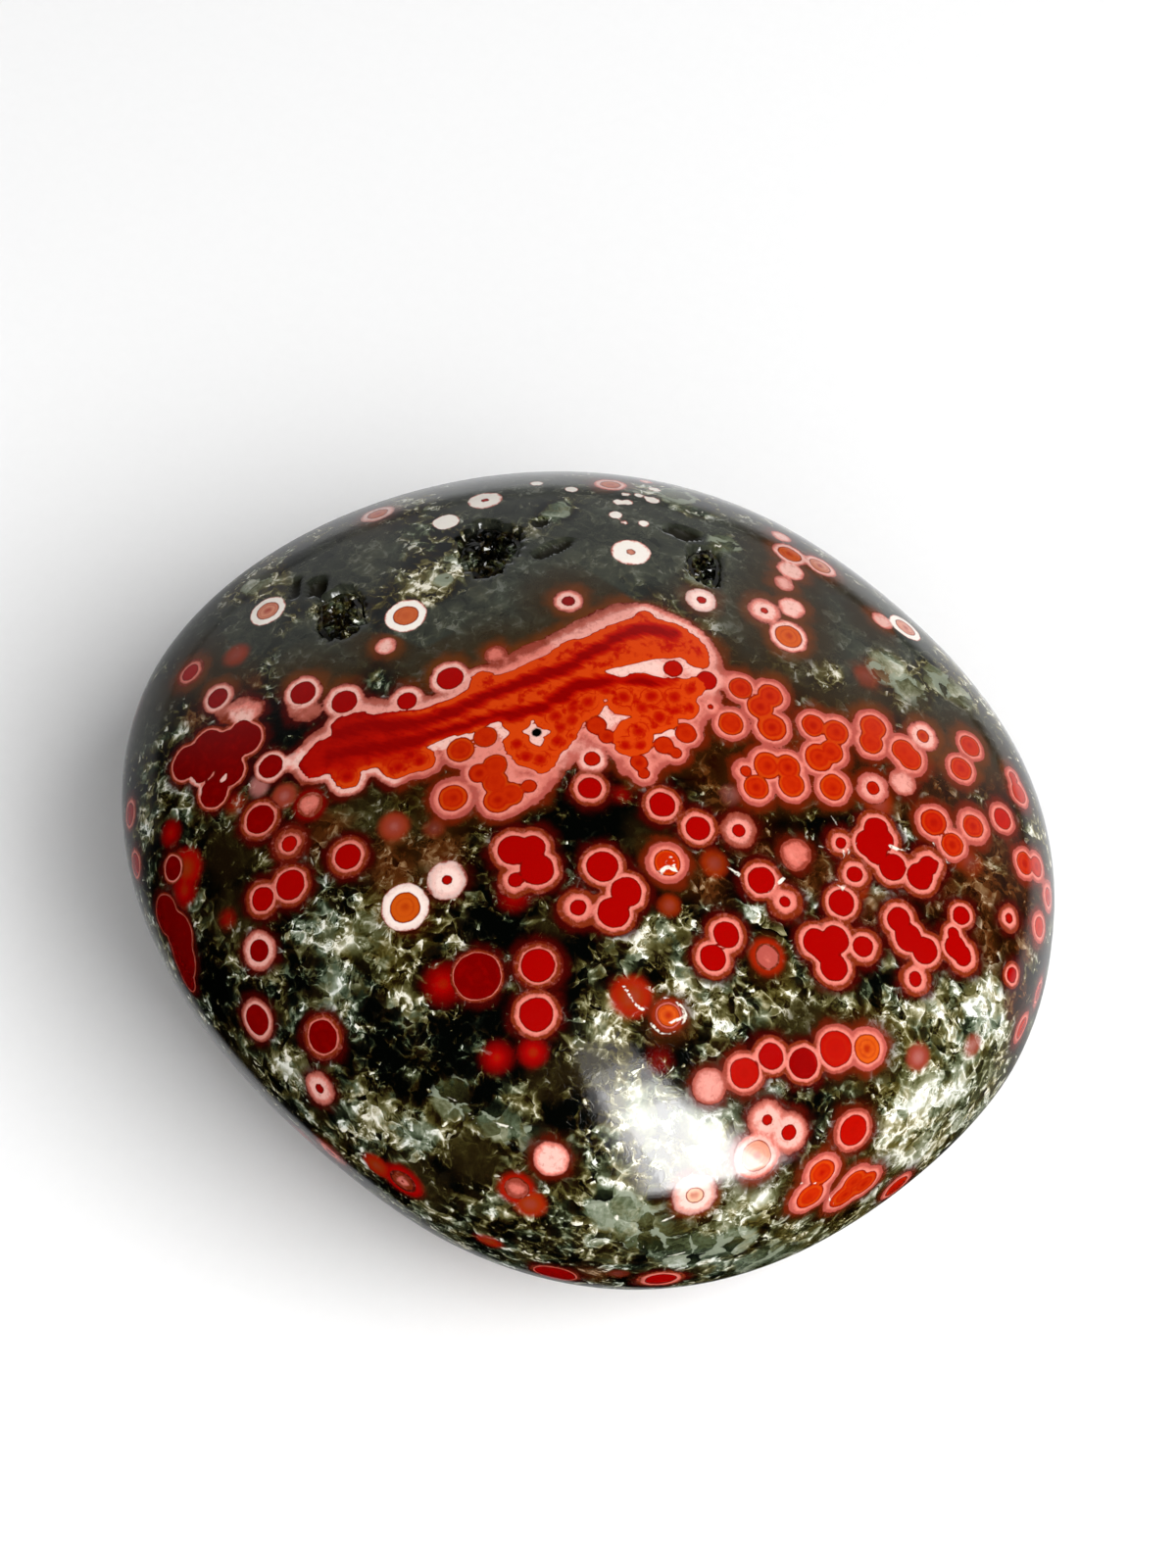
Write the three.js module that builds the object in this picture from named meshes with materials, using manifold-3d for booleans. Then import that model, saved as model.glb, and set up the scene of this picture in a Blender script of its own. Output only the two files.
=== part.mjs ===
/**
 * Ocean jasper palm stone: a polished pebble of orbicular chalcedony, about 71 x 63 x 36 mm,
 * that lies on a small flat spot. Three open pockets in its far shoulder are lined with
 * druzy quartz, and a few smaller chips and slits stand open in the polish around them.
 *
 * Millimetres, +Z up. The origin is under the middle of the stone, on its resting spot.
 */
import * as THREE from "three";
import { mergeVertices } from "three/addons/utils/BufferGeometryUtils.js";
import Module from "manifold-3d";

const wasm = await Module();
wasm.setup();

// ---- Driving dimensions: millimetres and degrees -------------------------------------------

/** The pebble's rounded block before its bulges, measured from its heart. */
const PEBBLE = {
  halfLength: 39.3,
  halfWidth: 32,
  halfHeight: 17,
  planExponent: 1.9, // 2 is an ellipse seen from above, less is leaner at the corners
  profileExponent: 2.6, // above 2 the flanks stand fuller than an ellipse's
  subdivision: 14,
};

/** Broad swellings and hollows: where each lies as seen from the heart, how high, how wide. */
const SWELLINGS = [
  { where: "cut-back right end", azimuth: -10, elevation: 8, height: -7.8, spread: 30 },
  { where: "cut-back near left flank", azimuth: -116, elevation: -22, height: -4.8, spread: 33 },
  { where: "left end", azimuth: 163, elevation: 4, height: -1, spread: 34 },
  { where: "far right flank", azimuth: 67, elevation: 12, height: -1.6, spread: 24 },
  { where: "near crown", azimuth: -85, elevation: 44, height: 2, spread: 42 },
  { where: "far crown", azimuth: 117, elevation: 42, height: 2.4, spread: 40 },
  { where: "underside", azimuth: -120, elevation: -60, height: 1.2, spread: 30 },
];

/** The flat resting spot: how far it lies under the heart, and how softly its rim rounds off. */
const RESTING_SPOT = { depth: 16.6, rounding: 0.12 };

/** Open pockets that hold a crust of quartz, and the size of its crystals. */
const POCKETS = [
  {
    name: "rear_druse",
    azimuth: 138.9,
    elevation: 36.9,
    long: 6.6,
    wide: 4.8,
    deep: 3.2,
    turn: 70,
    crystals: 26,
    crystalRadius: 0.42,
    crystalLength: 1.5,
  },
  {
    name: "left_druse",
    azimuth: 168.3,
    elevation: 32.2,
    long: 5.4,
    wide: 4,
    deep: 2.6,
    turn: 58,
    crystals: 20,
    crystalRadius: 0.36,
    crystalLength: 1.2,
  },
  {
    name: "right_druse",
    azimuth: 93.1,
    elevation: 39.8,
    long: 4.6,
    wide: 2.8,
    deep: 2,
    turn: 115,
    crystals: 14,
    crystalRadius: 0.3,
    crystalLength: 0.9,
  },
];

/** Small bare chips and slits in the polish. */
const CHIPS = [
  { azimuth: 165.3, elevation: 26.8, long: 2.1, wide: 1.6, deep: 0.9, turn: 60 },
  { azimuth: 166.8, elevation: 24.6, long: 2.6, wide: 0.9, deep: 0.6, turn: 40 },
  { azimuth: 126.5, elevation: 40.7, long: 3.4, wide: 1, deep: 0.6, turn: 20 },
  { azimuth: 100.2, elevation: 34.7, long: 3, wide: 1.6, deep: 0.7, turn: 10 },
  { azimuth: 127.2, elevation: 34.7, long: 1.6, wide: 1, deep: 0.5, turn: 35 },
];

const CRUST = {
  clearance: 0.3, // between the crust and the pocket's wall
  wall: 0.55, // thickness of the lining that the crystals stand on
  belowPolish: 0.25, // how far the crust stays under the polished surface
  lean: 0.55, // how far the crystals lean to the pocket's mouth
};
const ROUGHNESS = 0.16; // how far a pocket's wall wanders, as a share of its radius
const POCKET_SUBDIVISION = 3;
const CHIP_SUBDIVISION = 1;
const CRYSTAL_SIDES = 6;
const CRYSTAL_TIP = 0.62; // where the six-sided point starts, as a share of the length
const CRYSTAL_TAPER = 0.88; // radius at that height, as a share of the foot's
const GOLDEN_ANGLE = Math.PI * (3 - Math.sqrt(5));

// ---- Materials -------------------------------------------------------------------------------

const JASPER = new THREE.MeshStandardMaterial({ color: 0x7a2a1e, roughness: 0.12, metalness: 0 });
const DRUZY_QUARTZ = new THREE.MeshStandardMaterial({
  color: 0x4a4c3a,
  roughness: 0.3,
  metalness: 0,
});

// ---- The pebble's surface --------------------------------------------------------------------

/** Unit vector that points to an azimuth (from +X, anticlockwise) and an elevation. */
function directionTo(azimuth, elevation) {
  const around = THREE.MathUtils.degToRad(azimuth);
  const up = THREE.MathUtils.degToRad(elevation);
  const level = Math.cos(up);
  return new THREE.Vector3(level * Math.cos(around), level * Math.sin(around), Math.sin(up));
}

/** Distance from the heart to the polished surface along a unit vector. */
function pebbleRadius(direction) {
  const { halfLength, halfWidth, halfHeight, planExponent, profileExponent } = PEBBLE;
  const plan =
    Math.abs(direction.x / halfLength) ** planExponent +
    Math.abs(direction.y / halfWidth) ** planExponent;
  const profile =
    plan ** (profileExponent / planExponent) +
    Math.abs(direction.z / halfHeight) ** profileExponent;
  let radius = profile ** (-1 / profileExponent);
  for (const { azimuth, elevation, height, spread } of SWELLINGS) {
    const nearness = direction.dot(directionTo(azimuth, elevation)) - 1;
    radius += height * Math.exp(nearness / THREE.MathUtils.degToRad(spread) ** 2);
  }
  return radius;
}

/** Flattens what lies under the resting spot, with a soft rim, and leaves the rest alone. */
function restOnSpot(point) {
  const { depth, rounding } = RESTING_SPOT;
  const above = point.z + depth;
  if (above <= -rounding) point.z = -depth;
  else if (above < rounding) point.z = -depth + (above + rounding) ** 2 / (4 * rounding);
  return point;
}

/** The point of the polished surface that lies in a direction from the heart. */
function surfacePoint(direction) {
  return restOnSpot(direction.clone().multiplyScalar(pebbleRadius(direction)));
}

/** A frame that stands on the surface: z outwards, x along the compass turn given. */
function surfaceFrame({ azimuth, elevation, turn }) {
  const step = 0.5;
  const point = surfacePoint(directionTo(azimuth, elevation));
  const east = surfacePoint(directionTo(azimuth + step, elevation)).sub(point);
  const north = surfacePoint(directionTo(azimuth, elevation + step)).sub(point);
  const outward = new THREE.Vector3().crossVectors(east, north).normalize();
  const along = east.normalize().applyAxisAngle(outward, THREE.MathUtils.degToRad(turn));
  const across = new THREE.Vector3().crossVectors(outward, along);
  return new THREE.Matrix4().makeBasis(along, across, outward).setPosition(point);
}

// ---- Solids ----------------------------------------------------------------------------------

/** A closed three.js geometry as a solid that can be joined and cut. */
function toSolid(geometry) {
  const bare = geometry.clone();
  bare.deleteAttribute("normal");
  bare.deleteAttribute("uv");
  const merged = mergeVertices(bare, 1e-4);
  return new wasm.Manifold(
    new wasm.Mesh({
      numProp: 3,
      vertProperties: new Float32Array(merged.attributes.position.array),
      triVerts: new Uint32Array(merged.index.array),
    }),
  );
}

/** A solid as a three.js geometry. */
function toGeometry(solid) {
  const mesh = solid.getMesh();
  const geometry = new THREE.BufferGeometry();
  geometry.setAttribute("position", new THREE.BufferAttribute(mesh.vertProperties, 3));
  geometry.setIndex(new THREE.BufferAttribute(mesh.triVerts, 1));
  geometry.computeVertexNormals();
  return geometry;
}

/** The whole pebble with no openings, its surface drawn in by an inset. */
function pebbleGeometry(inset = 0) {
  const geometry = new THREE.IcosahedronGeometry(1, PEBBLE.subdivision);
  const position = geometry.attributes.position;
  const vertex = new THREE.Vector3();
  for (let i = 0; i < position.count; i++) {
    const direction = vertex.fromBufferAttribute(position, i).normalize();
    const reach = pebbleRadius(direction);
    const point = surfacePoint(direction).multiplyScalar(1 - inset / reach);
    position.setXYZ(i, point.x, point.y, point.z);
  }
  return geometry;
}

/** How far a rough wall wanders in a direction, from -1 to 1; phase makes each pocket its own. */
function wander(direction, phase) {
  const { x, y, z } = direction;
  return (
    0.5 * Math.sin(3.1 * x + 1.7 * y + phase) +
    0.3 * Math.sin(5.3 * y - 2.9 * z + 2 * phase) +
    0.2 * Math.sin(7.7 * z + 4.1 * x - 3 * phase)
  );
}

/** A lumpy ellipsoid that stands half in the stone, drawn in by an inset. */
function hollowGeometry(hollow, subdivision, phase, inset = 0) {
  const geometry = new THREE.IcosahedronGeometry(1, subdivision);
  const position = geometry.attributes.position;
  const vertex = new THREE.Vector3();
  for (let i = 0; i < position.count; i++) {
    const direction = vertex.fromBufferAttribute(position, i).normalize();
    const swell = 1 + ROUGHNESS * wander(direction, phase);
    position.setXYZ(
      i,
      direction.x * (hollow.long / 2 - inset) * swell,
      direction.y * (hollow.wide / 2 - inset) * swell,
      direction.z * (hollow.deep - inset) * swell,
    );
  }
  return geometry.applyMatrix4(surfaceFrame(hollow));
}

/** One six-sided quartz crystal that stands on the origin and points up z. */
function crystalGeometry(radius, length) {
  const profile = [
    new THREE.Vector2(0, 0),
    new THREE.Vector2(radius, 0),
    new THREE.Vector2(radius * CRYSTAL_TAPER, length * CRYSTAL_TIP),
    new THREE.Vector2(0, length),
  ];
  return new THREE.LatheGeometry(profile, CRYSTAL_SIDES).rotateX(Math.PI / 2);
}

/** The crystals of one pocket, each rooted in its lining and leaning to the mouth. */
function crystalsIn(pocket, phase) {
  const { clearance, wall, lean } = CRUST;
  const frame = surfaceFrame(pocket);
  const inset = clearance + wall / 2;
  const half = new THREE.Vector3(pocket.long / 2, pocket.wide / 2, pocket.deep).subScalar(inset);
  return Array.from({ length: pocket.crystals }, (_, i) => {
    const down = -0.12 - (0.83 * (i + 0.5)) / pocket.crystals;
    const ring = Math.sqrt(1 - down * down);
    const root = new THREE.Vector3(
      ring * Math.cos(i * GOLDEN_ANGLE),
      ring * Math.sin(i * GOLDEN_ANGLE),
      down,
    );
    root.multiplyScalar(1 + ROUGHNESS * wander(root, phase)).multiply(half);
    const growth = 0.75 + 0.35 * Math.sin(2.4 * i + phase);
    const toMouth = new THREE.Vector3(-root.x * lean, -root.y * lean, pocket.deep).normalize();
    const inwards = root.clone().negate().normalize();
    const axis = inwards.lerp(toMouth, 0.4).normalize();
    const stand = new THREE.Quaternion().setFromUnitVectors(new THREE.Vector3(0, 0, 1), axis);
    return crystalGeometry(pocket.crystalRadius * growth, pocket.crystalLength * growth)
      .rotateZ(i)
      .applyQuaternion(stand)
      .translate(root.x, root.y, root.z)
      .applyMatrix4(frame);
  });
}

/** A mesh whose corners keep their place, lowered onto the part's origin. */
function namedMesh(name, solid, material, origin) {
  const mesh = new THREE.Mesh(toGeometry(solid), material);
  mesh.name = name;
  mesh.position.copy(origin).negate();
  return mesh;
}

// ---- The pieces ------------------------------------------------------------------------------

/** The stone: the pebble with its pockets and chips cut in. */
function stoneSolid() {
  let stone = toSolid(pebbleGeometry());
  POCKETS.forEach((pocket, i) => {
    stone = stone.subtract(toSolid(hollowGeometry(pocket, POCKET_SUBDIVISION, i + 1)));
  });
  CHIPS.forEach((chip, i) => {
    stone = stone.subtract(toSolid(hollowGeometry(chip, CHIP_SUBDIVISION, 2 * i + 1)));
  });
  return stone;
}

/** One pocket's crust: a thin lining with its crystals grown on it, cut back under the polish. */
function druseSolid(pocket, phase, insideOfPebble) {
  const { clearance, wall } = CRUST;
  const outer = toSolid(hollowGeometry(pocket, POCKET_SUBDIVISION, phase, clearance));
  const inner = toSolid(hollowGeometry(pocket, POCKET_SUBDIVISION - 1, phase, clearance + wall));
  let crust = outer.subtract(inner);
  for (const crystal of crystalsIn(pocket, phase)) crust = crust.add(toSolid(crystal));
  return crust.intersect(outer).intersect(insideOfPebble);
}

/** Where the part's origin lies from the heart: on the resting spot, under the stone's middle. */
function originBelow(geometry) {
  geometry.computeBoundingBox();
  const middle = geometry.boundingBox.getCenter(new THREE.Vector3());
  return new THREE.Vector3(middle.x, middle.y, -RESTING_SPOT.depth);
}

const origin = originBelow(pebbleGeometry());
const insideOfPebble = toSolid(pebbleGeometry(CRUST.belowPolish));

const oceanJasper = new THREE.Group();
oceanJasper.name = "ocean_jasper";
oceanJasper.add(namedMesh("stone", stoneSolid(), JASPER, origin));
POCKETS.forEach((pocket, i) => {
  const druse = druseSolid(pocket, i + 1, insideOfPebble);
  oceanJasper.add(namedMesh(pocket.name, druse, DRUZY_QUARTZ, origin));
});

export default oceanJasper;
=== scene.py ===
"""Dresses the ocean jasper palm stone: polished orbs and red band, druzy pockets, stage."""

import math
from typing import NamedTuple

import bpy
import numpy as np
from mathutils import Matrix, Vector


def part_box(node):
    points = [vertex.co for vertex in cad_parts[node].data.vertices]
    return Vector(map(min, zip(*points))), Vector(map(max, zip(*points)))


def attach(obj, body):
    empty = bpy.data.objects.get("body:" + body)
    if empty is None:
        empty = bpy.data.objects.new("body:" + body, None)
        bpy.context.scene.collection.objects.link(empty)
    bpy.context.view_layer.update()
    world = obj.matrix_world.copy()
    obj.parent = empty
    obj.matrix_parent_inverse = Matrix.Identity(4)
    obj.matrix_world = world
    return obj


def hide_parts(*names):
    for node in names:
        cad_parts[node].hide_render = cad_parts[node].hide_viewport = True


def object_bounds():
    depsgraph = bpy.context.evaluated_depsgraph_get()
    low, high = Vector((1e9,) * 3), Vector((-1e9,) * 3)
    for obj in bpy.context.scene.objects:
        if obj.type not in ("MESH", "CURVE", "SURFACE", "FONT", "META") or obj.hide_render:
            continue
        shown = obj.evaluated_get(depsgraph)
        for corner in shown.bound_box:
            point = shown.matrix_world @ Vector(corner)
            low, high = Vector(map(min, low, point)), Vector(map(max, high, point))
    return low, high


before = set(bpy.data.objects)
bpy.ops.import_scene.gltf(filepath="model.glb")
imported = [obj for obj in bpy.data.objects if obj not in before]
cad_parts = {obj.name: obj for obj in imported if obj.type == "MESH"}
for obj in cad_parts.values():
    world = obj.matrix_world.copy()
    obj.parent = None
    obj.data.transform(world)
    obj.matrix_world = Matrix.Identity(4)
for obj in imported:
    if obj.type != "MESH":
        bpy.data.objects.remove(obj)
CAD_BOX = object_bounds()
STONE_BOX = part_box("stone")

bl_info = {
    "name": "Ocean jasper palm stone",
    "version": (1, 0, 0),
    "blender": (4, 5, 0),
    "location": "View3D > Sidebar > Ocean jasper",
    "description": "Builds the polished stone, its druzy pockets and a plain stage",
    "category": "Object",
}

MM = 0.001  # metres in a millimetre: sizes below are in millimetres, as in the part's source

# ---- The pebble's form, as in its solid --------------------------------------------------------


class Swelling(NamedTuple):
    """A broad swelling or hollow, seen from the stone's heart: degrees, and height in mm."""

    azimuth: float
    elevation: float
    height: float
    spread: float


HALF_LENGTH = 39.3
HALF_WIDTH = 32.0
HALF_HEIGHT = 17.0
PLAN_EXPONENT = 1.9
PROFILE_EXPONENT = 2.6
SWELLINGS = (
    Swelling(azimuth=-10, elevation=8, height=-7.8, spread=30),
    Swelling(azimuth=-116, elevation=-22, height=-4.8, spread=33),
    Swelling(azimuth=163, elevation=4, height=-1.0, spread=34),
    Swelling(azimuth=67, elevation=12, height=-1.6, spread=24),
    Swelling(azimuth=-85, elevation=44, height=2.0, spread=42),
    Swelling(azimuth=117, elevation=42, height=2.4, spread=40),
    Swelling(azimuth=-120, elevation=-60, height=1.2, spread=30),
)
RESTING_DEPTH = 16.6
RESTING_ROUNDING = 0.12
POLISH_INSET = 0.03  # the fine surface stays this far inside the faceted one's tips


class Hollow(NamedTuple):
    """An open pocket, chip or slit: where it is, its size in mm and its turn in degrees."""

    azimuth: float
    elevation: float
    long: float
    wide: float
    deep: float
    turn: float
    druse: str = ""


HOLLOWS = (
    Hollow(138.9, 36.9, long=6.6, wide=4.8, deep=3.2, turn=70, druse="rear_druse"),
    Hollow(168.3, 32.2, long=5.4, wide=4.0, deep=2.6, turn=58, druse="left_druse"),
    Hollow(93.1, 39.8, long=4.6, wide=2.8, deep=2.0, turn=115, druse="right_druse"),
    Hollow(165.3, 26.8, long=2.1, wide=1.6, deep=0.9, turn=60),
    Hollow(166.8, 24.6, long=2.6, wide=0.9, deep=0.6, turn=40),
    Hollow(126.5, 40.7, long=3.4, wide=1.0, deep=0.6, turn=20),
    Hollow(100.2, 34.7, long=3.0, wide=1.6, deep=0.7, turn=10),
    Hollow(127.2, 34.7, long=1.6, wide=1.0, deep=0.5, turn=35),
)
WALL_ROUGHNESS = 0.16  # how far a hollow's wall wanders, as a share of its radius
RIM_RAGGEDNESS = 0.07  # how far its rim breaks in and out, as a share of its radius
HOLLOW_REACH = 3.0  # mm: a hollow marks only the surface this close to its middle's level
CRUST_CLEARANCES = (0.12, 0.5)  # mm from a pocket's form to its crust's two skins
CRUST_SPREAD = 0.86  # how far up the wall a crust climbs, as a share of the whole way
CRYSTAL_DENSITY = 2.0e7  # crystals to a square metre at most, before they are spaced
CRYSTAL_SEEDS = {"place": 4, "lean": 11, "size": 23}
CRYSTAL_LEAN = 0.55  # radians, at most, off the wall's normal
CRYSTAL_TURN = 6.3  # radians, at most, about its own length
CRYSTAL_SIZES = (0.45, 1.25)  # least and most, as a share of the sizes in the panel

# ---- The view that the marks are placed in -----------------------------------------------------

VIEW_WIDTH = 1200  # pixels of the view's frame; columns and rows below count in it
VIEW_HEIGHT = 1600
VIEW_AZIMUTH = 24.5  # degrees round from the front, to the right
VIEW_ELEVATION = 59.5
VIEW_DISTANCE = 260.0  # mm from the heart
PIXEL_AT_HEART = 0.0735  # mm that one pixel spans there
HEART_COLUMN = 621.3
HEART_ROW = 906.7
SENSOR = 36.0

# ---- Marks laid on the stone -------------------------------------------------------------------


class Orb(NamedTuple):
    """A ringed orb: its place in the view, and the radii of its core and ring in mm.

    Heat and pallor are its family's, unless it has its own.
    """

    column: float
    row: float
    core: float
    ring: float
    heat: float = None
    pallor: float = None


class Family(NamedTuple):
    """Orbs of one colouring. Heat runs from crimson to orange, pallor from pink to white."""

    heat: float
    pallor: float
    orbs: tuple


WHITE_RINGED = Family(
    heat=0.9,
    pallor=1.0,
    orbs=(
        Orb(414, 628, 0.95, 1.52, heat=1.06), Orb(413, 926, 1.12, 1.68, heat=0.98, pallor=0.8),
        Orb(273, 623, 0.92, 1.42, heat=1.3, pallor=0.94),
        Orb(924, 640, 0.92, 1.4, heat=1.34, pallor=0.96),
        Orb(805, 649, 1.06, 1.46, heat=1.0, pallor=0.58),
    ),
)

SMALL_CORED = Family(
    heat=0.25,
    pallor=0.62,
    orbs=(
        Orb(495, 510, 0.3, 1.26, heat=0.6, pallor=0.92), Orb(456, 898, 0.38, 1.38, pallor=0.76),
        Orb(644, 563, 0.36, 1.42, heat=1.34, pallor=0.96),
        Orb(716, 612, 0.36, 1.12, heat=0.7, pallor=0.76),
        Orb(780, 623, 0.3, 1.22, heat=0.8, pallor=0.68),
        Orb(580, 613, 0.5, 1.02, heat=-0.1, pallor=0.52),
        Orb(264, 970, 0.82, 1.4, heat=-0.1, pallor=0.46),
        Orb(262, 1041, 1.12, 1.52, heat=-0.1, pallor=0.42),
        Orb(326, 1111, 0.38, 1.25, heat=-0.08, pallor=0.5),
        Orb(783, 1143, 0.42, 1.4, pallor=0.46), Orb(805, 1156, 0.58, 1.48, pallor=0.46),
        Orb(942, 751, 0.55, 1.22, heat=0.9, pallor=0.48),
        Orb(891, 804, 0.52, 1.2, heat=0.7, pallor=0.4), Orb(754, 847, 0.5, 1.28, pallor=0.38),
        Orb(604, 774, 0.6, 1.12, heat=0.6, pallor=0.48),
        Orb(1030, 937, 0.4, 1.0, heat=0.2, pallor=0.34),
        Orb(709, 1220, 0.66, 1.6, heat=1.44, pallor=0.72),
    ),
)

PALE_DISCS = Family(
    heat=0.3,
    pallor=1.0,
    orbs=(
        Orb(455, 532, 0, 0.97), Orb(583, 499, 0, 0.46), Orb(547, 493, 0, 0.46),
        Orb(631, 512, 0, 0.4), Orb(641, 512, 0, 0.4), Orb(652, 505, 0, 0.32),
        Orb(668, 499, 0, 0.46), Orb(666, 510, 0, 0.52), Orb(628, 525, 0, 0.46),
        Orb(657, 534, 0, 0.4), Orb(638, 504, 0, 0.3), Orb(659, 491, 0, 0.5, pallor=0.6),
        Orb(637, 533, 0, 0.26),
    ),
)

PINK_DISCS = Family(
    heat=0.4,
    pallor=0.45,
    orbs=(
        Orb(797, 547, 0, 0.8, pallor=0.62), Orb(807, 582, 0, 1.05, pallor=0.62),
        Orb(800, 595, 0, 0.75), Orb(808, 620, 0, 1.0, pallor=0.6),
        Orb(900, 633, 0, 0.85, pallor=0.6), Orb(394, 659, 0, 0.72, pallor=0.55),
        Orb(921, 798, 0, 1.0, pallor=0.42), Orb(812, 872, 0, 1.1, pallor=0.26),
        Orb(562, 1183, 0, 1.2, pallor=0.6), Orb(724, 1108, 0, 1.2, pallor=0.4),
    ),
)

CRIMSON = Family(
    heat=0.0,
    pallor=0.3,
    orbs=(
        Orb(385, 524, 0.85, 1.3, heat=1.06, pallor=0.72),
        Orb(623, 494, 0.8, 1.22, heat=1.1, pallor=0.66),
        Orb(222, 712, 0.88, 1.28, heat=-0.1, pallor=0.48),
        Orb(309, 707, 1.0, 1.45, heat=-0.08, pallor=0.5),
        Orb(351, 716, 0.98, 1.48, heat=-0.06, pallor=0.5), Orb(415, 715, 0.74, 1.25, pallor=0.5),
        Orb(459, 692, 0.98, 1.45, pallor=0.5), Orb(194, 686, 0.75, 1.2),
        Orb(276, 782, 0.95, 1.25, heat=-0.1, pallor=0.46), Orb(132, 831, 0.85, 1.25),
        Orb(138, 882, 0.88, 1.2), Orb(549, 985, 1.2, 1.66, pallor=-0.1),
        Orb(547, 1035, 1.18, 1.68), Orb(615, 884, 1.12, 1.62), Orb(639, 910, 1.1, 1.6),
        Orb(626, 931, 1.12, 1.62), Orb(590, 926, 0.6, 1.36), Orb(524, 867, 1.12, 1.66),
        Orb(543, 865, 0.95, 1.5), Orb(548, 887, 1.18, 1.72), Orb(526, 898, 0.55, 1.25),
        Orb(602, 804, 0.85, 1.36), Orb(676, 821, 0.95, 1.4), Orb(712, 845, 0.92, 1.42),
        Orb(741, 954, 0.97, 1.5), Orb(728, 977, 0.98, 1.5), Orb(833, 961, 1.0, 1.5),
        Orb(852, 959, 1.05, 1.6), Orb(842, 968, 1.05, 1.5), Orb(851, 987, 1.02, 1.55),
        Orb(881, 966, 0.78, 1.35), Orb(917, 938, 0.9, 1.42), Orb(927, 957, 1.02, 1.5),
        Orb(944, 970, 0.98, 1.45), Orb(981, 934, 0.72, 1.1), Orb(973, 953, 0.5, 1.0),
        Orb(975, 966, 0.85, 1.3), Orb(983, 976, 0.75, 1.35), Orb(934, 999, 0.55, 1.2),
        Orb(777, 898, 1.02, 1.5), Orb(859, 921, 0.96, 1.42), Orb(872, 892, 0.6, 1.22),
        Orb(801, 920, 0.4, 1.3), Orb(858, 860, 0.42, 1.05), Orb(894, 847, 0.95, 1.5),
        Orb(886, 860, 1.0, 1.45), Orb(900, 857, 0.9, 1.4), Orb(894, 870, 0.85, 1.3),
        Orb(911, 885, 1.0, 1.5), Orb(939, 894, 1.02, 1.55), Orb(947, 883, 0.75, 1.4),
        Orb(955, 881, 0.24, 0.8), Orb(787, 1078, 0.95, 1.42),
        Orb(820, 1085, 1.1, 1.5, heat=-0.08), Orb(871, 1154, 1.16, 1.6, heat=0.42),
        Orb(566, 1300, 1.5, 1.8, heat=-0.05, pallor=-0.2), Orb(674, 1306, 1.15, 1.7),
        Orb(915, 1211, 1.05, 1.45, heat=0.6), Orb(1033, 995, 0.6, 0.95),
    ),
)

SCARLET = Family(
    heat=0.85,
    pallor=0.3,
    orbs=(
        Orb(806, 565, 0.98, 1.36, heat=1.0, pallor=0.5),
        Orb(837, 577, 0.92, 1.32, heat=1.26, pallor=0.5), Orb(756, 702, 0.9, 1.3),
        Orb(786, 710, 1.0, 1.45), Orb(776, 721, 1.02, 1.4), Orb(788, 742, 1.1, 1.52),
        Orb(746, 738, 0.96, 1.38), Orb(725, 721, 0.26, 0.9), Orb(783, 781, 1.05, 1.5),
        Orb(761, 787, 0.46, 1.0), Orb(804, 783, 0.98, 1.42), Orb(772, 803, 0.95, 1.4),
        Orb(808, 800, 1.0, 1.42), Orb(830, 740, 0.9, 1.3), Orb(853, 747, 1.0, 1.42),
        Orb(836, 773, 1.1, 1.5), Orb(848, 767, 0.95, 1.4), Orb(891, 742, 1.05, 1.5),
        Orb(889, 757, 0.95, 1.4), Orb(922, 766, 0.95, 1.4), Orb(929, 774, 0.95, 1.4),
        Orb(990, 761, 0.92, 1.28), Orb(981, 784, 0.95, 1.32), Orb(850, 803, 1.0, 1.42),
        Orb(953, 839, 1.05, 1.45, heat=0.7), Orb(972, 862, 0.92, 1.3), Orb(993, 843, 0.9, 1.42),
        Orb(1023, 835, 0.85, 1.25, heat=0.6), Orb(1040, 809, 0.85, 1.2),
        Orb(1034, 793, 0.5, 0.9), Orb(1046, 881, 0.9, 1.3), Orb(1058, 884, 0.8, 1.2),
        Orb(1070, 915, 0.7, 1.2), Orb(1061, 946, 0.75, 1.15), Orb(1060, 1013, 0.7, 1.15),
        Orb(1043, 1049, 0.85, 1.25), Orb(760, 1095, 1.08, 1.52, heat=0.4),
        Orb(853, 1070, 1.28, 1.7, heat=0.5), Orb(885, 1070, 1.04, 1.5, heat=0.98),
        Orb(772, 1180, 1.15, 1.62, heat=1.2, pallor=0.46), Orb(839, 1197, 1.08, 1.6),
        Orb(827, 1221, 1.12, 1.66), Orb(862, 1220, 1.3, 1.8), Orb(882, 1208, 1.2, 1.7),
        Orb(872, 1206, 1.1, 1.6), Orb(462, 814, 1.06, 1.62), Orb(681, 880, 1.0, 1.5),
        Orb(700, 748, 0.8, 1.2), Orb(677, 760, 0.74, 1.2), Orb(690, 768, 0.46, 0.9),
        Orb(652, 778, 0.68, 1.15), Orb(657, 789, 0.44, 0.95), Orb(609, 740, 0.74, 1.15),
        Orb(619, 751, 0.6, 1.05), Orb(470, 765, 1.02, 1.45), Orb(495, 752, 0.88, 1.3),
        Orb(505, 781, 0.92, 1.4), Orb(489, 789, 0.78, 1.3), Orb(505, 798, 0.95, 1.4),
        Orb(508, 816, 1.04, 1.55), Orb(521, 810, 0.94, 1.45), Orb(540, 802, 0.55, 1.1),
    ),
)

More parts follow.
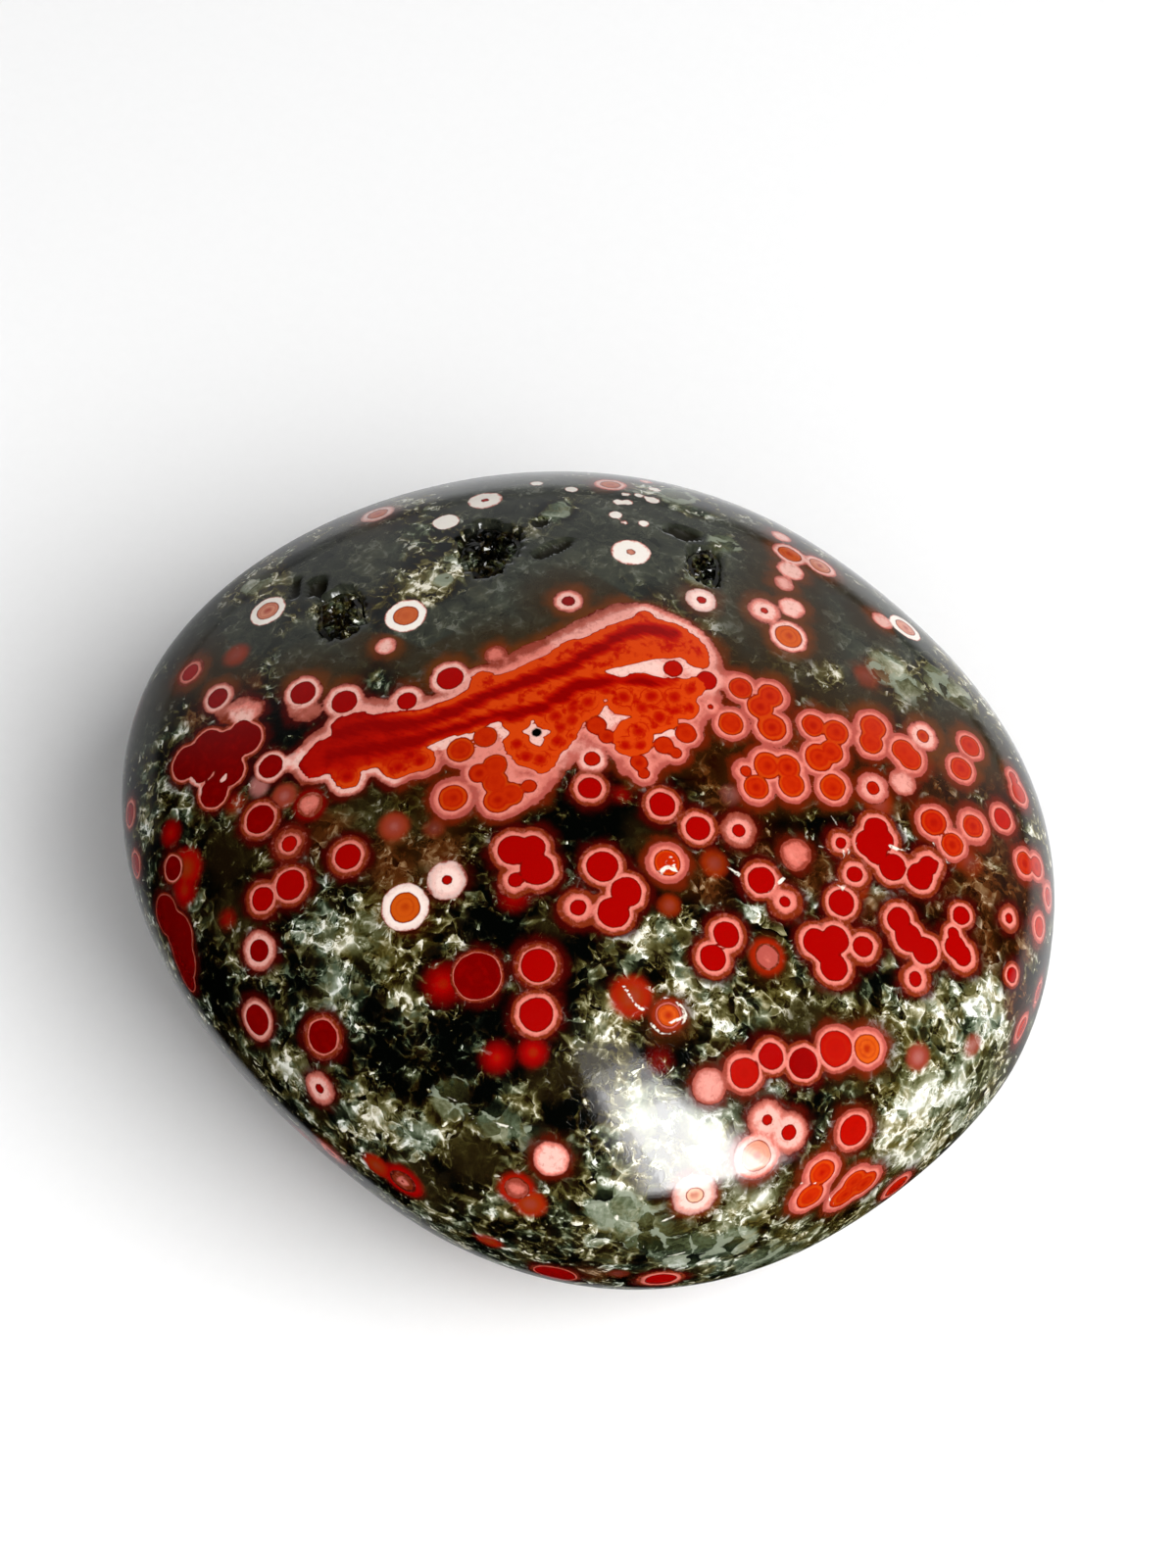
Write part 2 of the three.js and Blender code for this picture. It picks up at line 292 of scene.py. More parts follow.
BAND_CRIMSON = Family(
    heat=0.3,
    pallor=0.5,
    orbs=(
        Orb(687, 682, 0.72, 0.8, heat=0.5), Orb(721, 694, 0.8, 1.2), Orb(354, 791, 0.98, 1.5),
    ),
)

DUSKY = Family(
    heat=-0.02,
    pallor=0.1,
    orbs=(
        Orb(265, 836, 1.12, 1.58, heat=-0.1), Orb(355, 874, 0.98, 1.54),
        Orb(296, 903, 1.12, 1.6), Orb(268, 917, 0.9, 1.4),
        Orb(329, 1058, 1.18, 1.6, heat=-0.13, pallor=0.0),
        Orb(295, 861, 0.62, 1.32, heat=0.3, pallor=-0.42),
        Orb(309, 1158, 0.6, 1.2, heat=0.3, pallor=-0.1),
        Orb(337, 1176, 0.45, 1.4, heat=0.5, pallor=0.2),
        Orb(682, 1036, 0.82, 0.88, heat=0.98, pallor=-0.6),
        Orb(783, 976, 0, 0.85, heat=0.9, pallor=0.0),
        Orb(316, 821, 0, 0.9, heat=0.3, pallor=0.3),
        Orb(506, 668, 0, 0.75, heat=0.4, pallor=0.3),
        Orb(411, 1206, 0.18, 1.0, heat=0.2, pallor=0.05),
        Orb(527, 1213, 0, 0.8, heat=0.4, pallor=0.1),
        Orb(487, 996, 1.66, 1.8, heat=-0.12, pallor=-0.6),
    ),
)

EDGE_CRIMSON = Family(
    heat=-0.15,
    pallor=0.2,
    orbs=(
        Orb(191, 778, 1.38, 1.6), Orb(212, 762, 1.4, 1.65), Orb(231, 765, 1.65, 1.9),
        Orb(250, 754, 1.3, 1.58), Orb(246, 745, 0.85, 1.1), Orb(234, 787, 1.2, 1.45),
        Orb(218, 808, 1.2, 1.42), Orb(206, 783, 1.2, 1.4), Orb(169, 934, 1.5, 1.6, pallor=-0.3),
        Orb(182, 955, 1.7, 1.8, pallor=-0.1), Orb(187, 978, 1.55, 1.66, pallor=-0.3),
        Orb(191, 998, 1.0, 1.1, pallor=-0.3), Orb(176, 886, 0.9, 1.1),
    ),
)

FAMILIES = (
    WHITE_RINGED,
    SMALL_CORED,
    PALE_DISCS,
    PINK_DISCS,
    CRIMSON,
    SCARLET,
    BAND_CRIMSON,
    DUSKY,
    EDGE_CRIMSON,
)

# Orbs that lie deeper in the stone and show only as soft spots: column, row, radius in mm,
# heat as for the orbs, and strength.
GLOWS = (
    (673, 1082, 1.2, 0.0, 0.35), (241, 668, 1.1, 0.7, 0.6), (264, 802, 0.85, 1.6, 0.7),
    (290, 812, 1.0, 0.9, 0.8), (316, 821, 1.3, 0.1, 0.7), (174, 850, 1.1, 0.0, 0.9),
    (190, 886, 1.5, 0.3, 0.9), (188, 908, 1.3, 0.1, 0.85), (232, 938, 0.95, 0.0, 0.45),
    (402, 843, 1.15, 0.8, 0.75), (443, 845, 0.85, 0.8, 0.4), (506, 668, 1.2, 0.2, 0.3),
    (452, 1004, 1.6, 0.0, 0.7), (507, 1079, 1.2, 0.0, 0.75), (544, 1074, 1.05, 0.1, 0.85),
    (644, 1017, 1.5, 0.45, 0.9), (682, 1036, 1.15, 0.6, 0.85), (683, 924, 0.9, 0.6, 0.6),
    (729, 881, 1.1, 0.6, 0.6), (783, 976, 1.3, 0.5, 0.9), (745, 811, 0.9, 1.2, 0.35),
    (937, 1079, 1.05, 1.0, 0.75), (993, 1067, 0.95, 1.0, 0.6), (384, 1190, 1.15, 0.45, 0.95),
    (411, 1206, 1.6, 0.3, 0.95), (527, 1214, 1.25, 0.4, 0.95), (541, 1229, 1.15, 0.55, 0.95),
    (499, 1267, 1.05, 0.4, 0.8), (630, 1300, 0.9, 0.8, 0.4), (635, 810, 0.9, 0.0, 0.4),
    (897, 820, 1.2, 0.7, 0.5), (870, 905, 1.3, 0.6, 0.5), (884, 690, 1.1, 0.7, 0.4),
    (990, 880, 1.2, 0.7, 0.4), (525, 915, 1.3, 0.0, 0.5), (240, 820, 1.0, 0.0, 0.5),
)

# Outlines in columns and rows of the view. The red band's runs clockwise from its left tip.
BAND_OUTLINE = (
    (305, 783), (308, 774), (318, 762), (323, 757), (336, 752), (338, 746), (338, 740),
    (344, 733), (351, 730), (364, 727), (371, 726), (381, 729), (394, 727), (408, 725),
    (429, 724), (443, 718), (456, 714), (467, 709), (477, 703), (479, 699), (480, 692),
    (486, 687), (493, 685), (501, 686), (506, 689), (512, 687), (523, 684), (541, 675),
    (558, 668), (571, 658), (585, 652), (598, 650), (612, 642), (627, 636), (640, 631),
    (646, 630), (649, 626), (656, 623), (664, 625), (670, 631), (682, 634), (698, 641),
    (711, 650), (721, 661), (724, 673), (723, 680), (717, 682), (707, 680), (700, 675),
    (693, 671), (677, 672), (660, 675), (646, 678), (633, 681), (617, 685), (625, 688),
    (633, 691), (644, 687), (656, 686), (667, 689), (675, 691), (690, 692), (700, 692),
    (709, 690), (718, 698), (719, 705), (711, 713), (714, 722), (713, 728), (707, 733),
    (698, 734), (692, 733), (692, 737), (691, 742), (682, 745), (675, 748), (668, 749),
    (667, 753), (666, 760), (662, 768), (653, 770), (644, 772), (631, 768), (627, 759),
    (626, 751), (627, 745), (631, 738), (636, 734), (646, 732), (640, 730), (633, 730),
    (625, 727), (620, 720), (617, 712), (616, 722), (612, 729), (604, 732), (598, 736),
    (594, 741), (591, 747), (587, 755), (577, 765), (571, 771), (564, 783),
    (553, 790), (541, 785), (529, 781), (522, 773), (515, 764), (513, 755), (520, 748),
    (513, 741), (510, 736), (493, 741), (482, 748), (475, 749), (460, 752), (447, 757),
    (435, 762), (439, 764), (443, 768), (445, 775), (442, 782), (432, 787), (419, 789),
    (408, 794), (401, 795), (390, 789), (386, 784), (382, 784), (369, 787), (369, 792),
    (364, 801), (354, 805), (344, 802), (338, 792), (335, 789), (327, 792), (314, 793),
    (308, 788),
)
# A pale pocket inside the band, and the black hole in its middle.
BAND_POCKET = (
    (543, 733), (548, 741), (562, 746), (555, 751), (553, 759), (549, 761), (541, 756),
    (540, 750), (533, 747), (540, 742),
)
# Pale slits between the lobes of the left-hand cluster.
SLITS = (
    ((192, 793), (200, 797), (206, 808), (198, 806)),
    ((223, 798), (228, 791), (232, 788), (229, 797)),
)
POCKET_HOLE = (547.6, 747.2)
POCKET_HOLE_RADIUS = 0.4  # mm
# Pink quartz that joins the rings round the band.
PINK_OUTLINES = (
    ((480, 700), (484, 684), (493, 679), (508, 677), (523, 666), (536, 659), (558, 650),
     (579, 639), (602, 627), (625, 617), (640, 615), (663, 617), (682, 625), (705, 636),
     (722, 650), (732, 663), (735, 675), (730, 686), (716, 690), (700, 660), (656, 636),
     (600, 662), (540, 688)),
    ((330, 748), (334, 738), (345, 722), (373, 712), (394, 714), (434, 711), (450, 706),
     (475, 694), (480, 704), (440, 728), (372, 740), (340, 760)),
    ((283, 781), (290, 772), (302, 766), (318, 750), (334, 742), (340, 760), (312, 800),
     (302, 790), (292, 786)),
    ((236, 718), (248, 712), (262, 713), (269, 718), (268, 727), (256, 736), (240, 738),
     (226, 736), (220, 728)),
    ((436, 763), (450, 757), (481, 748), (493, 741), (510, 735), (520, 748), (530, 775),
     (552, 789), (572, 773), (590, 752), (604, 731), (620, 717), (640, 728), (645, 745),
     (628, 757), (632, 768), (643, 772), (643, 788), (634, 790), (628, 776), (612, 762),
     (598, 768), (582, 783), (555, 814), (536, 825), (516, 836), (501, 835), (490, 825),
     (486, 814), (479, 801), (475, 787), (467, 783), (455, 777), (449, 768)),
    ((722, 660), (735, 672), (740, 684), (754, 688), (746, 700), (735, 705), (737, 712),
     (730, 724), (722, 735), (714, 752), (700, 765), (682, 779), (664, 795), (655, 799),
     (645, 790), (640, 775), (666, 770), (690, 745), (712, 730), (712, 712), (720, 700)),
    ((617, 685), (646, 676), (677, 671), (696, 668), (708, 679), (718, 683), (712, 691),
     (690, 694), (660, 690), (633, 693)),
    ((295, 718), (309, 724), (324, 718), (326, 728), (317, 735), (302, 735), (295, 728)),
)
# Where that quartz is whitest, and where it is only paler than elsewhere.
WHITE_OUTLINES = (
    ((617, 685), (646, 677), (668, 673), (677, 679), (674, 690), (656, 687), (633, 691)),
    ((435, 762), (447, 757), (460, 752), (481, 748), (479, 753), (462, 757), (450, 764)),
    ((493, 741), (510, 735), (515, 742), (520, 748), (514, 754), (507, 743)),
    ((667, 750), (678, 747), (690, 744), (690, 748), (680, 750), (670, 753)),
    ((288, 773), (299, 765), (310, 767), (308, 778), (297, 784), (289, 781)),
)
ROSY_OUTLINES = (
    BAND_POCKET,
    *SLITS,
    ((608, 734), (617, 719), (622, 729), (639, 732), (628, 736), (624, 741), (614, 737)),
    ((238, 717), (250, 713), (264, 717), (266, 725), (256, 734), (242, 736), (234, 728)),
    ((694, 672), (704, 678), (716, 682), (706, 687), (698, 680)),
)
# Dark streaks that run along the band, and darker knots in its cells.
STREAKS = (
    ((345, 748), (373, 741), (401, 740), (429, 736), (456, 729), (484, 716), (512, 705),
     (540, 694), (579, 680), (598, 668), (617, 658), (637, 647), (656, 642), (675, 642),
     (690, 646)),
    ((335, 772), (373, 764), (401, 761), (429, 755), (456, 747), (484, 738), (512, 731),
     (545, 724), (572, 711), (585, 702), (608, 696), (637, 692), (667, 692), (690, 693)),
)
KNOTS = (
    (527, 759), (536, 772), (551, 775), (569, 756), (567, 731), (406, 783), (636, 711),
    (673, 732), (652, 746), (705, 703), (705, 722), (688, 711), (571, 742), (637, 761),
    (654, 761), (600, 716), (655, 722), (354, 792), (428, 776), (584, 735), (618, 705),
    (585, 722), (690, 726), (665, 710),
)
# Soft patches of ground between the orbs, by the ground's name: column, row, radius in mm.
# The hidden side draws its own in this order of names.
GROUNDS = {
    "milky": (  # grey-white quartz
        (1015, 1115, 2.8), (975, 1165, 2.8), (875, 1262, 2.2), (750, 1205, 1.8), (352, 958, 2.4),
        (345, 995, 1.9), (660, 1125, 2.4), (720, 1160, 3.8), (760, 1220, 3.0), (940, 1120, 3.6),
        (985, 1110, 3.8), (930, 1180, 3.4), (1010, 1050, 2.2), (640, 1230, 2.6), (420, 1150, 1.6),
        (800, 1280, 3.2), (730, 1265, 3.0),
    ),
    "crushed": (  # broken cream quartz
        (840, 1285, 2.2), (770, 1300, 2.0), (545, 1130, 1.3), (612, 990, 1.7), (660, 955, 1.5),
        (690, 940, 1.2), (700, 1010, 1.4), (745, 1028, 1.3), (800, 1030, 1.4), (860, 1025, 1.4),
        (905, 1040, 1.5), (960, 1030, 2.4), (1000, 1015, 2.0), (618, 1045, 1.5), (800, 920, 1.4),
        (870, 875, 1.3), (905, 905, 1.4), (910, 1160, 2.0), (905, 678, 1.5), (928, 705, 1.7),
        (952, 690, 1.4), (978, 706, 1.6), (845, 685, 1.2), (800, 668, 1.0), (700, 510, 1.6),
        (440, 600, 1.6), (266, 598, 1.4), (470, 960, 1.3), (470, 930, 1.3), (420, 1010, 1.3),
        (290, 1090, 1.4), (380, 1140, 1.4), (880, 1240, 1.6),
    ),
    "black": (  # clear quartz that looks black
        (322, 600, 1.7), (302, 574, 1.1), (462, 1004, 2.4), (526, 1080, 2.0), (684, 1080, 1.8),
        (585, 835, 2.4), (625, 840, 2.4), (700, 800, 1.4), (400, 1075, 2.0), (425, 1110, 1.4),
        (215, 1010, 2.0), (300, 1000, 1.0), (230, 900, 2.0), (510, 945, 2.3), (585, 965, 2.0),
        (350, 760, 1.2), (284, 745, 1.6), (680, 905, 1.4), (740, 890, 1.8), (740, 780, 1.0),
        (790, 840, 1.4), (580, 1010, 1.7), (450, 1060, 1.6), (520, 1040, 1.8), (500, 1115, 1.0),
        (565, 1125, 1.2),
    ),
    "slate": (  # smooth dark ground, partly painted sheen where the polish mirrors the pale room
        (560, 600, 6.0), (640, 540, 6.0), (720, 560, 6.0), (460, 640, 4.5), (800, 620, 6.0),
        (860, 660, 5.0), (520, 500, 5.0), (350, 570, 4.5), (230, 650, 4.5), (330, 660, 3.5),
        (900, 640, 5.0), (980, 740, 4.0), (290, 545, 4.0), (400, 500, 3.6), (190, 640, 3.6),
        (150, 730, 3.0),
    ),
    "olive": (  # mossy ground
        (430, 865, 3.2), (370, 830, 2.6), (235, 870, 2.6), (240, 930, 2.2), (480, 1180, 2.2),
        (600, 1090, 1.8), (820, 1045, 2.0), (250, 1090, 2.4), (660, 850, 2.0), (570, 940, 1.6),
        (560, 1100, 1.8), (430, 1210, 2.4),
    ),
    "rusty": (  # ground stained by iron
        (330, 850, 1.8), (400, 880, 2.0), (450, 870, 1.6), (725, 785, 1.8), (742, 820, 1.6),
        (722, 900, 1.6), (770, 860, 1.8), (830, 890, 1.8), (890, 690, 1.5), (905, 815, 1.6),
        (960, 810, 2.0), (955, 905, 2.2), (1003, 905, 2.4), (1000, 960, 2.2), (1040, 910, 2.0),
        (1020, 860, 2.2), (1042, 960, 2.0), (1040, 1020, 1.6), (1015, 800, 1.8), (890, 935, 1.8),
        (600, 1300, 1.5), (680, 1050, 1.3), (252, 700, 1.2), (200, 730, 1.2),
    ),
    "flaked": (  # flat plates with pale veins between them
        (460, 1122, 1.5), (510, 1145, 1.5), (545, 1165, 1.2), (625, 1235, 1.8), (660, 1255, 2.4),
        (700, 1278, 2.4), (745, 1270, 2.0), (780, 1285, 2.4), (850, 1265, 2.4), (905, 682, 1.7),
        (930, 704, 1.5), (960, 695, 1.6), (980, 708, 1.4), (452, 592, 0.7), (262, 594, 1.4),
        (690, 505, 1.6), (570, 520, 1.2), (712, 588, 1.1), (738, 554, 1.3), (708, 520, 1.1),
    ),
}
# Cream fracture lines, as points along each one.
CRACKS = (
    ((400, 1008), (411, 1014), (424, 1021)),
    ((455, 1118), (470, 1128), (482, 1140), (487, 1148)),
    ((500, 1143), (512, 1148), (526, 1152)),
    ((618, 1228), (632, 1246), (640, 1262), (656, 1272), (668, 1284)),
    ((640, 1262), (652, 1254), (668, 1250), (690, 1240)),
    ((668, 1284), (684, 1282), (700, 1278)),
    ((782, 913), (790, 905), (801, 896)),
    ((849, 834), (855, 842), (862, 846)),
    ((858, 876), (866, 870), (873, 862), (876, 852)),
    ((845, 893), (856, 899), (864, 904)),
    ((952, 860), (960, 868), (970, 882)),
    ((743, 884), (749, 889), (755, 893)),
    ((630, 1000), (640, 1010), (648, 1024), (656, 1030)),
    ((848, 832), (859, 845), (878, 845)),
    ((836, 864), (859, 869), (875, 858)),
    ((843, 890), (862, 909)),
    ((908, 863), (918, 867), (930, 866)),
    ((953, 861), (962, 872), (968, 883)),
    ((664, 880), (672, 868), (684, 872), (690, 884)),
    ((670, 892), (680, 884), (694, 890)),
    ((678, 868), (680, 880), (676, 892)),
    ((668, 1024), (680, 1018), (694, 1026), (699, 1040), (690, 1052), (675, 1054), (665, 1044)),
    ((671, 1040), (682, 1044), (697, 1038)),
    ((816, 1207), (832, 1208), (845, 1206), (852, 1196)),
    ((843, 1212), (846, 1222), (852, 1232)),
    ((529, 1228), (537, 1222), (543, 1218)),
    ((168, 897), (178, 903), (184, 918), (186, 926)),
    ((699, 519), (706, 524), (712, 523), (719, 522)),
    ((729, 555), (733, 558), (739, 555), (745, 557)),
    ((703, 579), (714, 585), (722, 595), (727, 600)),
)

# ---- Numbers for the hidden side and the marks -------------------------------------------------

HIDDEN_SEED = 7
HIDDEN_CLUSTERS = 75
HIDDEN_GLOWS = 45
HIDDEN_PATCHES = 46
HIDDEN_CLUSTER_SPACING = 3.4  # mm between the middles of neighbours, as the next two
HIDDEN_GLOW_SPACING = 3.0
HIDDEN_PATCH_SPACING = 4.0
HIDDEN_PATCH_RADII = (2.0, 5.0)  # mm, least and most
HIDDEN_FACING = -0.06  # how far past the view's rim the hidden marks begin
HIDDEN_SPREAD = (1, 1, 1.6)  # how much of the tries head along each axis
HIDDEN_TRIES = 40  # tries for each mark
HIDDEN_PALLORS = {0.3: 0.4, 0.42: 0.4, 0.8: 0.2}  # each pallor's chance
HIDDEN_LOBES = {1: 0.45, 2: 0.25, 3: 0.18, 4: 0.12}  # the chance of so many orbs together
GRID_SQUASH = 0.5  # evens the mesh out over a stone that is flatter than a ball
HEART_STEPS = 64  # mesh steps that are enough to find the middle of the stone's box
GRID_FAVOUR = 0.35  # draws the mesh closer together on the side that the view shows
FAR = 9.0  # mm: a distance that counts as off every mark
ORB_SHARPNESS = 4  # how fast an orb's heat and pallor give way to its neighbour's, per mm
ORB_REACH = (-1.5, 6)  # mm inside and outside its ring between which they do
GLOW_EDGE = 0.95  # where a soft spot has half its strength, as a share of its radius
GLOW_SHARPNESS = 7
GLOW_HEART = 0.5  # how much hotter its middle is
GLOW_HEART_FALL = 4  # how fast that fades towards its rim
SPOT_FALL = 0.7  # how fast a patch fades, so that it has half its cover at its radius
DISC_HEART = 0.3  # mm: keeps the middle of a plain disc clear of any core
DISC_FILL = 0.8  # share of a plain disc that its bright middle takes up
PINK_PALLOR = 0.36
PINK_SHARE = 0.6  # how much of the way the pink quartz draws the rings' pallor to its own
PINK_FADE = (-0.2, 0.4)  # mm past its outline from which, and up to which, that fades out
PALE_OVERLAP = 0.15  # mm past their outlines that the paler places reach
ROSY_PALLORS = (0.52, 0.3, 0.58)  # on the outline, gained for each mm inwards, and at most
WHITE_PALLORS = (0.6, 0.4, 0.72)
BAND_TURN = math.radians(-44)  # lays the band's length along X
BAND_RIM = 0.52  # mm: how wide a ring runs round the red band
BAND_SHARPNESS = 12  # how fast the band's heat gives way to the orbs' at its edge, per mm
BAND_HEATS = (0.34, 0.8)  # from the band's cool left tip to its warm right end
BAND_COOL_COLUMN = 370  # where the band starts to warm, in the view's columns
BAND_COOL_WIDTH = 140  # columns over which it warms
BAND_LOBE_ROW = 760  # the lobes below this row are warmer
BAND_LOBE_WARMING = 2.2  # columns' worth of warming for each row below it
OUTLINE_MARGIN = 40  # pixels of the view round an outline within which its distance is kept
LINE_MARGIN = 90  # the same for a line
RING_SKIN = 0.1  # mm: how far a ring's dusky skin reaches past its bright part

# ---- Lights ------------------------------------------------------------------------------------


class Lamp(NamedTuple):
    """A square light: where it hangs in degrees, how far off and how wide in metres."""

    azimuth: float
    elevation: float
    distance: float
    size: float


LAMPS = {
    "side": Lamp(azimuth=-10, elevation=50, distance=1.1, size=0.8),
    "window": Lamp(azimuth=-60, elevation=47, distance=1.0, size=1.2),
    "sky": Lamp(azimuth=0, elevation=90, distance=2.0, size=5.0),
}


class Pane(NamedTuple):
    """A pane of the mirrored window: its right-hand side in degrees, sizes in metres, share."""

    edge: float
    base: float
    width: float
    height: float
    share: float


PANES = (
    Pane(edge=-23, base=0.16, width=0.44, height=1.1, share=0.25),
    Pane(edge=-21, base=0.14, width=0.56, height=1.5, share=0.28),
    Pane(edge=-18, base=0.1, width=0.66, height=2.0, share=0.27),
    Pane(edge=-18, base=0.05, width=0.74, height=2.9, share=0.19),
)


# ---- The pebble's surface ----------------------------------------------------------------------


def direction_to(azimuth, elevation):
    """Unit vector to an azimuth (from +X, anticlockwise) and an elevation, in degrees."""
    around, up = math.radians(azimuth), math.radians(elevation)
    level = math.cos(up)
    return np.array([level * math.cos(around), level * math.sin(around), math.sin(up)])


def unit(vectors):
    """The vectors, each scaled to a length of one."""
    return vectors / np.linalg.norm(vectors, axis=-1, keepdims=True)


def pebble_radius(directions):
    """Distance in mm from the heart to the polished surface, along each unit vector."""
    x, y, z = np.moveaxis(np.abs(directions), -1, 0)
    plan = (x / HALF_LENGTH) ** PLAN_EXPONENT + (y / HALF_WIDTH) ** PLAN_EXPONENT
    profile = plan ** (PROFILE_EXPONENT / PLAN_EXPONENT) + (z / HALF_HEIGHT) ** PROFILE_EXPONENT
    radius = profile ** (-1 / PROFILE_EXPONENT)
    for swelling in SWELLINGS:
        nearness = directions @ direction_to(swelling.azimuth, swelling.elevation) - 1
        radius = radius + swelling.height * np.exp(nearness / math.radians(swelling.spread) ** 2)
    return radius


def rest_on_spot(points):
    """The points with those under the resting spot flattened, and a soft rim round them."""
    above = points[..., 2] + RESTING_DEPTH
    soft = (above + RESTING_ROUNDING) ** 2 / (4 * RESTING_ROUNDING)
    rim = np.abs(above) < RESTING_ROUNDING
    height = np.where(rim, soft, np.maximum(above, 0))
    return np.concatenate([points[..., :2], (height - RESTING_DEPTH)[..., None]], axis=-1)


def surface(directions, inset=0.0):
    """Points of the polished surface in the given directions from the heart."""
    return rest_on_spot(directions * (pebble_radius(directions) - inset)[..., None])


def surface_normals(points):
    """Outward unit normals at points of the surface, from how the distance to it changes."""
    step = 0.05  # mm

    def depth(p):
        """How far outside the surface each point is, along its ray from the heart."""
        reach = np.linalg.norm(p, axis=-1)
        return reach - pebble_radius(p / reach[..., None])

    slopes = [depth(points + axis) - depth(points - axis) for axis in np.eye(3) * step]
    return unit(np.stack(slopes, axis=-1))


# ---- The view ----------------------------------------------------------------------------------


def view_axes():
    """The view's right, up and back unit vectors."""
    around, up = math.radians(VIEW_AZIMUTH), math.radians(VIEW_ELEVATION)
    level = math.cos(up)
    back = np.array([math.sin(around) * level, -math.cos(around) * level, math.sin(up)])
    right = np.array([math.cos(around), math.sin(around), 0.0])
    return right, np.cross(back, right), back


def view_eye():
    """Where the eye is, in mm from the heart."""
    right, up, back = view_axes()
    across = (VIEW_WIDTH / 2 - HEART_COLUMN) * PIXEL_AT_HEART
    along = (HEART_ROW - VIEW_HEIGHT / 2) * PIXEL_AT_HEART
    return back * VIEW_DISTANCE + right * across + up * along


def project(points):
    """Columns and rows where points, in mm from the heart, show in the view."""
    right, up, back = view_axes()
    offset = points - view_eye()
    scale = VIEW_DISTANCE / PIXEL_AT_HEART / -(offset @ back)
    columns = VIEW_WIDTH / 2 + scale * (offset @ right)
    rows = VIEW_HEIGHT / 2 - scale * (offset @ up)
    return columns, rows


def lay_on_stone(columns, rows):
    """The nearest points of the stone that show at the given columns and rows."""
    right, up, back = view_axes()
    columns, rows = np.asarray(columns, float), np.asarray(rows, float)
    across = (columns - VIEW_WIDTH / 2)[:, None] * PIXEL_AT_HEART / VIEW_DISTANCE
    along = (VIEW_HEIGHT / 2 - rows)[:, None] * PIXEL_AT_HEART / VIEW_DISTANCE
    rays = unit(across * right + along * up - back)
    eye = view_eye()
    reach = HALF_LENGTH + 5  # mm from the heart that no part of the stone lies beyond
    stride, halvings = 0.5, 20  # mm of each step inwards, and how often the last is halved

    def inside(distance):
        """Whether each ray is in the stone after that distance."""
        points = eye + rays * distance[:, None]
        length = np.linalg.norm(points, axis=-1)
        return length < pebble_radius(points / length[:, None])

    near = np.full(len(rays), VIEW_DISTANCE - reach)
    found = np.zeros(len(rays), bool)
    for _ in range(int(2 * reach / stride)):
        found |= inside(near + stride)
        near = np.where(found, near, near + stride)
    far = near + stride
    for _ in range(halvings):
        middle = (near + far) / 2
        hit = inside(middle)
        near, far = np.where(hit, near, middle), np.where(hit, middle, far)
    return eye + rays * far[:, None]


def facing_view(points):
    """How squarely each point of the surface faces the eye: the cosine of the angle."""
    return np.sum(surface_normals(points) * unit(view_eye() - points), axis=-1)


# ---- The fine mesh -----------------------------------------------------------------------------


def ball_grid(steps):
    """Directions and quads of a ball made of six square grids, evened out for the stone."""
    ticks = np.tan(np.linspace(-math.pi / 4, math.pi / 4, steps + 1))
    u, v = np.meshgrid(ticks, ticks, indexing="ij")
    one = np.ones_like(u)
    sides = [(one, u, v), (-one, v, u), (v, one, u), (u, -one, v), (u, v, one), (v, u, -one)]
    corners = np.concatenate([np.stack(side, -1).reshape(-1, 3) for side in sides])
    _, first, merged = np.unique(
        np.round(corners, 6), axis=0, return_index=True, return_inverse=True
    )
    number = np.arange((steps + 1) ** 2).reshape(steps + 1, steps + 1)
    square = np.stack(
        [number[:-1, :-1], number[1:, :-1], number[1:, 1:], number[:-1, 1:]], -1
    ).reshape(-1, 4)
    quads = np.concatenate([square + i * number.size for i in range(6)])
    squash = np.array([HALF_LENGTH, HALF_WIDTH, HALF_HEIGHT]) ** GRID_SQUASH
    directions = unit(unit(corners[first]) * squash)
    directions = unit(directions + GRID_FAVOUR * unit(view_axes()[2] + np.array([0, 0, 1.0])))
    return directions, merged.reshape(-1)[quads]


def hollow_frame(hollow):
    """Middle, along, across and outward vectors of a hollow on the surface."""
    step = 0.5  # degrees
    places = [
        (hollow.azimuth, hollow.elevation),
        (hollow.azimuth + step, hollow.elevation),
        (hollow.azimuth, hollow.elevation + step),
    ]
    middle, east, north = (surface(direction_to(*place)) for place in places)
    outward = unit(np.cross(east - middle, north - middle))
    east = unit(east - middle)
    turn = math.radians(hollow.turn)
    along = east * math.cos(turn) + np.cross(outward, east) * math.sin(turn)
    return middle, along, np.cross(outward, along), outward


def wander(directions, phase):
    """How far a rough wall wanders in each direction, from -1 to 1."""
    x, y, z = np.moveaxis(directions, -1, 0)
    return (
        0.5 * np.sin(3.1 * x + 1.7 * y + phase)
        + 0.3 * np.sin(5.3 * y - 2.9 * z + 2 * phase)
        + 0.2 * np.sin(7.7 * z + 4.1 * x - 3 * phase)
    )


def hollow_depth(hollow, phase, points):
    """How deep the hollow is at each point, from 0 at its rim to 1, and 0 outside it."""
    middle, along, across, outward = hollow_frame(hollow)
    offset = points - middle
    flat = np.stack([offset @ along / hollow.long * 2, offset @ across / hollow.wide * 2], -1)
    far = np.linalg.norm(flat, axis=-1)
    heading = np.pad(flat, ((0, 0), (0, 1))) / np.maximum(far, 1e-6)[:, None]
    ragged = RIM_RAGGEDNESS * np.sin(23 * heading[:, 0] + 5 * phase)
    near = np.clip(far / (1 + WALL_ROUGHNESS * wander(heading, phase) + ragged), 0, 1)
    shown = (np.abs(offset @ outward) < HOLLOW_REACH) & (near < 1)
    return np.where(shown, np.sqrt(1 - near ** 2), 0)


